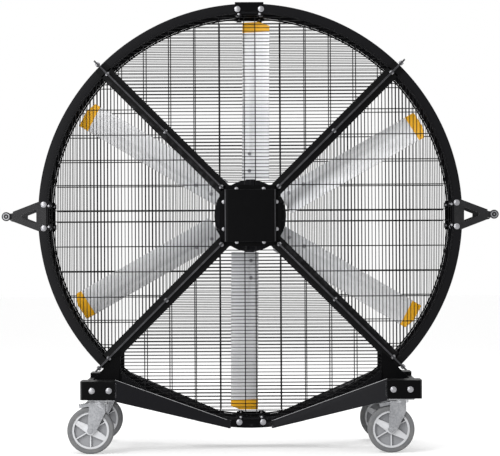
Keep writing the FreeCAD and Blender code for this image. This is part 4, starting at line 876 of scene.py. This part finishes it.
def remap(nodes, links, value, low, high, to_low, to_high):
    """A straight map of a value from one range to another, clamped."""
    node = nodes.new("ShaderNodeMapRange")
    links.new(value, node.inputs["Value"])
    labels = ("From Min", "From Max", "To Min", "To Max")
    for label, number in zip(labels, (low, high, to_low, to_high)):
        node.inputs[label].default_value = number
    return node.outputs["Result"]


def sums(nodes, links, operation, first, second):
    """One math step on two values or numbers."""
    node = nodes.new("ShaderNodeMath")
    node.operation = operation
    for number, value in enumerate((first, second)):
        if isinstance(value, (int, float)):
            node.inputs[number].default_value = value
        else:
            links.new(value, node.inputs[number])
    return node.outputs[0]


def blended(nodes, links, share, first, second):
    """A colour between two colours."""
    node = nodes.new("ShaderNodeMix")
    node.data_type = "RGBA"
    links.new(share, node.inputs["Factor"])
    links.new(first, node.inputs[MIX_FIRST])
    links.new(second, node.inputs[MIX_SECOND])
    return node.outputs[MIX_RESULT]


def folded(nodes, links, normal, strength):
    """A painted highlight mask: full where a normal lies between the main directions, as on a rounded
    edge.
    """
    size = nodes.new("ShaderNodeVectorMath")
    size.operation = "ABSOLUTE"
    links.new(normal, size.inputs[0])
    ways = nodes.new("ShaderNodeSeparateXYZ")
    links.new(size.outputs[0], ways.inputs[0])
    most = sums(nodes, links, "MAXIMUM", ways.outputs["X"], ways.outputs["Y"])
    most = sums(nodes, links, "MAXIMUM", most, ways.outputs["Z"])
    between = remap(nodes, links, most, FOLD_FULL, FOLD_NONE, 1.0, 0.0)
    return sums(nodes, links, "MULTIPLY", between, strength)


def along_depth(nodes, links, point):
    """How far a point lies in front of or behind the fan's middle."""
    ways = nodes.new("ShaderNodeSeparateXYZ")
    links.new(point, ways.inputs[0])
    return sums(nodes, links, "ABSOLUTE", ways.outputs["Y"], 0.0)


# %% Powder coat
# The painted highlight on the front lips of the guard arms fades in over this depth.
LIP_BLEND = 0.001
powder, nodes, links, given, out = effect_group(
    "powder_coat",
    [("Paint", COLOR, None), ("Dust", COLOR, None), ("Worn", COLOR, None), ("Dustiness", FLOAT, 0.2),
     ("Wear", FLOAT, 0.3), ("Gloss", FLOAT, 0.45), ("Fold", FLOAT, 0.0), ("Lip", FLOAT, 10.0),
     ("Point", VECTOR, None)],
    [("Color", COLOR, None), ("Roughness", FLOAT, None), ("Height", FLOAT, None)])
patches = noise(nodes, links, given["Point"], 3.2, 4.0)
mottle = noise(nodes, links, given["Point"], 38.0, 3.0)
peel = noise(nodes, links, given["Point"], 520.0, 1.0)
facing = nodes.new("ShaderNodeNewGeometry")
upward = nodes.new("ShaderNodeSeparateXYZ")
links.new(facing.outputs["Normal"], upward.inputs[0])
lying = remap(nodes, links, upward.outputs["Z"], 0.35, 1.0, 0.0, 1.0)
patchy = remap(nodes, links, patches, 0.3, 0.7, 0.35, 1.0)
settled = sums(nodes, links, "MULTIPLY", lying, patchy)
film = sums(nodes, links, "MULTIPLY", remap(nodes, links, mottle, 0.42, 0.7, 0.0, 0.08),
            remap(nodes, links, patches, 0.4, 0.65, 0.2, 1.0))
dusty = sums(nodes, links, "ADD", settled, film)
dusty = sums(nodes, links, "MULTIPLY", dusty, given["Dustiness"])
edge = remap(nodes, links, facing.outputs["Pointiness"], 0.555, 0.63, 0.0, 1.0)
wear_and_sheen = sums(nodes, links, "MULTIPLY", edge, remap(nodes, links, mottle, 0.45, 0.62, 0.0, 1.0))
wear_and_sheen = sums(nodes, links, "MULTIPLY", wear_and_sheen, given["Wear"])
# Painted highlight: arm lips and rounded folds are mixed towards the worn colour, as light on edges.
beyond = sums(nodes, links, "SUBTRACT", along_depth(nodes, links, given["Point"]), given["Lip"])
lip_sheen = remap(nodes, links, beyond, 0.0, LIP_BLEND, 0.0, 1.0)
fold_sheen = folded(nodes, links, facing.outputs["Normal"], given["Fold"])
shine = sums(nodes, links, "MAXIMUM", lip_sheen, fold_sheen)
shine = sums(nodes, links, "MULTIPLY", shine, remap(nodes, links, mottle, 0.3, 0.7, 0.55, 1.0))
wear_and_sheen = sums(nodes, links, "MAXIMUM", wear_and_sheen, shine)
painted = blended(nodes, links, dusty, given["Paint"], given["Dust"])
links.new(blended(nodes, links, wear_and_sheen, painted, given["Worn"]), out["Color"])
uneven = remap(nodes, links, mottle, 0.3, 0.7, -0.03, 0.03)
dull = sums(nodes, links, "ADD", sums(nodes, links, "MULTIPLY", dusty, 0.3), uneven)
links.new(sums(nodes, links, "ADD", given["Gloss"], dull), out["Roughness"])
links.new(peel, out["Height"])
print("powder coat nodes", len(nodes))

# %% Drawn metal
# Where the painted shade towards the hub is darkest and where it ends, in steps of a blade's
# stretched map.
ROOT_DARK = 0.3
ROOT_PLAIN = 1.1
drawn, nodes, links, given, out = effect_group(
    "drawn_metal",
    [("Bright", COLOR, None), ("Shade", COLOR, None), ("Glint", COLOR, None), ("Fold", FLOAT, 0.0),
     ("Root", FLOAT, 0.0), ("Gloss", FLOAT, 0.32), ("Point", VECTOR, None)],
    [("Color", COLOR, None), ("Roughness", FLOAT, None), ("Height", FLOAT, None)])
streaks = noise(nodes, links, given["Point"], 1.0, 3.0, 0.6)
clouds = noise(nodes, links, given["Point"], 0.05, 2.0)
tone = sums(nodes, links, "ADD", remap(nodes, links, streaks, 0.25, 0.75, 0.0, 0.6),
            remap(nodes, links, clouds, 0.3, 0.7, 0.0, 0.4))
# Painted shade: the colour is pushed towards Shade nearer the hub.
reach = nodes.new("ShaderNodeSeparateXYZ")
links.new(given["Point"], reach.inputs[0])
root_shade = remap(nodes, links, reach.outputs["Y"], ROOT_DARK, ROOT_PLAIN, 1.0, 0.0)
root_shade = sums(nodes, links, "MULTIPLY", root_shade, given["Root"])
tone = sums(nodes, links, "ADD", tone, root_shade)
# Painted glint: rounded folds are mixed towards the Glint colour.
facing = nodes.new("ShaderNodeNewGeometry")
fold_sheen = folded(nodes, links, facing.outputs["Normal"], given["Fold"])
metal = blended(nodes, links, tone, given["Bright"], given["Shade"])
links.new(blended(nodes, links, fold_sheen, metal, given["Glint"]), out["Color"])
uneven = remap(nodes, links, streaks, 0.25, 0.75, -0.05, 0.09)
links.new(sums(nodes, links, "ADD", given["Gloss"], uneven), out["Roughness"])
links.new(streaks, out["Height"])
print("drawn metal nodes", len(nodes))

# %% Moulded grain
wheel_low, wheel_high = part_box("caster_wheel_rear_right")
WHEEL_DEPTH = (wheel_low[1] + wheel_high[1]) / 2
# The painted shade in the wheel core's hollow is full this near its middle and gone this far out.
HOLLOW_DEEP = 0.004
HOLLOW_EDGE = 0.014
moulded, nodes, links, given, out = effect_group(
    "moulded_grain",
    [("Body", COLOR, None), ("Scuff", COLOR, None), ("Deep", COLOR, None), ("Scuffing", FLOAT, 0.3),
     ("Hollow", FLOAT, 0.0), ("Gloss", FLOAT, 0.55), ("Point", VECTOR, None)],
    [("Color", COLOR, None), ("Roughness", FLOAT, None), ("Height", FLOAT, None)])
grain = noise(nodes, links, given["Point"], 900.0, 2.0)
smears = noise(nodes, links, given["Point"], 26.0, 4.0, 0.62)
specks = noise(nodes, links, given["Point"], 210.0, 2.0)
rub = sums(nodes, links, "ADD", remap(nodes, links, smears, 0.42, 0.72, 0.0, 0.7),
           remap(nodes, links, specks, 0.55, 0.75, 0.0, 0.3))
rub = sums(nodes, links, "MULTIPLY", rub, given["Scuffing"])
# Painted shade: the sunk middle of the wheel core is mixed towards a darker colour.
aside = sums(nodes, links, "SUBTRACT", along_depth(nodes, links, given["Point"]), WHEEL_DEPTH)
aside = sums(nodes, links, "ABSOLUTE", aside, 0.0)
sunk_shade = remap(nodes, links, aside, HOLLOW_DEEP, HOLLOW_EDGE, 1.0, 0.0)
sunk_shade = sums(nodes, links, "MULTIPLY", sunk_shade, given["Hollow"])
body = blended(nodes, links, rub, given["Body"], given["Scuff"])
links.new(blended(nodes, links, sunk_shade, body, given["Deep"]), out["Color"])
uneven = remap(nodes, links, smears, 0.3, 0.7, -0.08, 0.1)
links.new(sums(nodes, links, "ADD", given["Gloss"], uneven), out["Roughness"])
links.new(grain, out["Height"])
print("moulded grain nodes", len(nodes))

# %% [markdown]
# ## Materials
# A finish is one group with its own colours, a bump for its skin, and plain numbers such as
# metalness on the shader itself. Colours are written as sRGB values from 0 to 255 and turned into
# the linear values that Blender mixes.

# %% Material maker
finishes = {}


def linear(red, green, blue):
    """sRGB to linear light: c / 12.92 up to 0.04045, else ((c + 0.055) / 1.055) ** 2.4."""
    share = np.array([red, green, blue]) / 255.0
    light = np.where(share <= 0.04045, share / 12.92, ((share + 0.055) / 1.055) ** 2.4)
    return (*light.tolist(), 1.0)


def finish(slot, group, colours, values, bump, distance,
           stretch=(1.0, 1.0, 1.0), source="Object", **shader):
    """A slot's material: the group's colour, roughness and height go into one Principled shader."""
    material = bpy.data.materials.new(slot)
    material.use_nodes = True
    nodes = material.node_tree.nodes
    links = material.node_tree.links
    principled = nodes["Principled BSDF"]
    effect = nodes.new("ShaderNodeGroup")
    effect.node_tree = group
    for label, colour in colours.items():
        effect.inputs[label].default_value = linear(*colour)
    for label, value in values.items():
        effect.inputs[label].default_value = value
    place = nodes.new("ShaderNodeTexCoord")
    mapping = nodes.new("ShaderNodeMapping")
    mapping.inputs["Scale"].default_value = stretch
    links.new(place.outputs[source], mapping.inputs["Vector"])
    links.new(mapping.outputs["Vector"], effect.inputs["Point"])
    skin = nodes.new("ShaderNodeBump")
    skin.inputs["Strength"].default_value = bump
    skin.inputs["Distance"].default_value = distance
    links.new(effect.outputs["Height"], skin.inputs["Height"])
    links.new(effect.outputs["Color"], principled.inputs["Base Color"])
    links.new(effect.outputs["Roughness"], principled.inputs["Roughness"])
    links.new(skin.outputs["Normal"], principled.inputs["Normal"])
    for label, value in shader.items():
        principled.inputs[label.replace("_", " ")].default_value = value
    finishes[slot] = material


# %% Finishes for each slot
# The worn colour serves real worn edges and also the painted highlight on folds and lips; BASE's pale
# one is mostly painted highlight on the rail tops.
BLACK = {"Paint": (16, 16, 18), "Dust": (70, 69, 67), "Worn": (86, 86, 88)}
GUARD = {"Paint": (10, 10, 11), "Dust": (60, 59, 57), "Worn": (74, 74, 77)}
PLATE = {"Paint": (6, 6, 7), "Dust": (56, 55, 54), "Worn": (98, 98, 101)}
BASE = {"Paint": (22, 22, 25), "Dust": (76, 75, 73), "Worn": (206, 206, 208)}
SATIN = {"Specular_IOR_Level": 0.07}
# The painted highlight on the guard arms covers the last LIP_HEIGHT of their webs, at the front.
LIP_HEIGHT = 0.002
LIP_DEPTH = RING_HALF + ARM_WEB - LIP_HEIGHT
CORE_LINES = (60.0, 900.0, 60.0)
STEEL_GRAIN = (420.0, 420.0, 420.0)
BLADE_LINES = (46.0, 1.6, 1.0)
ZINC_GRAIN = (120.0, 120.0, 120.0)

finish("black_shroud", powder, BLACK, {"Dustiness": 0.14, "Wear": 0.3, "Gloss": 0.40},
       0.10, 0.0004, **SATIN)
# The guard's lip setting paints a highlight on the front edges of the arm webs.
finish("black_guard", powder, GUARD,
       {"Dustiness": 0.10, "Wear": 0.2, "Gloss": 0.42, "Lip": LIP_DEPTH}, 0.08, 0.0004, **SATIN)
# The fold setting paints a highlight on rounded folds, such as those of the beams and the rails.
finish("black_plate", powder, PLATE, {"Dustiness": 0.12, "Wear": 0.3, "Gloss": 0.36, "Fold": 0.8},
       0.10, 0.0004, Specular_IOR_Level=0.04)
finish("black_base", powder, BASE, {"Dustiness": 0.20, "Wear": 0.4, "Gloss": 0.36, "Fold": 1.0},
       0.10, 0.0004, **SATIN)
finish("black_grip", moulded, {"Body": (18, 18, 20), "Scuff": (46, 46, 48)},
       {"Scuffing": 0.35, "Gloss": 0.30}, 0.10, 0.0002, Specular_IOR_Level=0.24)
finish("motor_paint", powder, BLACK, {"Dustiness": 0.3, "Wear": 0.4, "Gloss": 0.45},
       0.15, 0.0005, **SATIN)
finish("rotor_paint", powder, BASE, {"Dustiness": 0.2, "Wear": 0.4, "Gloss": 0.42},
       0.12, 0.0004, **SATIN)
finish("core_steel", drawn, {"Bright": (150, 150, 152), "Shade": (104, 104, 108)},
       {"Gloss": 0.4}, 0.2, 0.0004, CORE_LINES, Metallic=1.0)
finish("bright_steel", drawn, {"Bright": (176, 176, 179), "Shade": (118, 118, 122)},
       {"Gloss": 0.34}, 0.1, 0.0002, STEEL_GRAIN, Metallic=1.0)
# The root setting paints a shade on the blades towards the hub.
finish("blade_aluminium", drawn, {"Bright": (252, 252, 253), "Shade": (222, 223, 226)},
       {"Gloss": 0.42, "Root": 0.6}, 0.12, 0.0003, BLADE_LINES, "UV", Metallic=0.25)
# The fold setting paints a glint on the fork's rounded edges.
finish("fork_zinc", drawn,
       {"Bright": (168, 169, 172), "Shade": (110, 111, 114), "Glint": (246, 247, 249)},
       {"Gloss": 0.38, "Fold": 1.0}, 0.15, 0.0003, ZINC_GRAIN, Metallic=0.7)
finish("pedal_zinc", drawn, {"Bright": (164, 165, 168), "Shade": (112, 113, 116)},
       {"Gloss": 0.45}, 0.15, 0.0003, ZINC_GRAIN, Metallic=0.7)
finish("tip_yellow", moulded, {"Body": (255, 188, 22), "Scuff": (252, 184, 44)},
       {"Scuffing": 0.3, "Gloss": 0.45}, 0.1, 0.0003)
finish("box_plastic", moulded, {"Body": (22, 22, 24), "Scuff": (58, 58, 58)},
       {"Scuffing": 0.3, "Gloss": 0.5}, 0.2, 0.0003, Specular_IOR_Level=0.3)
finish("board_green", moulded, {"Body": (30, 92, 54), "Scuff": (52, 120, 74)},
       {"Scuffing": 0.4, "Gloss": 0.35}, 0.1, 0.0002)
# The hollow setting paints a shade in the sunk middle of the wheel core.
finish("core_grey", moulded,
       {"Body": (200, 201, 204), "Scuff": (164, 163, 161), "Deep": (140, 141, 144)},
       {"Scuffing": 0.4, "Gloss": 0.5, "Hollow": 1.0}, 0.15, 0.0003)
finish("tyre_grey", moulded, {"Body": (106, 107, 109), "Scuff": (138, 136, 132)},
       {"Scuffing": 0.5, "Gloss": 0.68}, 0.3, 0.0004, Specular_IOR_Level=0.3)
print("finishes", len(finishes))

# %% Put the finishes on
HIDDEN_NODES = ("motor_stator", "motor_rotor", "motor_shaft", "motor_bearings", "drive_board")
for piece in pieces.values():
    piece.data.materials.clear()
    piece.data.materials.append(finishes[piece["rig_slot"]])
for node in HIDDEN_NODES:
    for place in NODES[node].material_slots:
        place.material = finishes[SLOT_OF[node]]
print("dressed pieces", len(pieces))
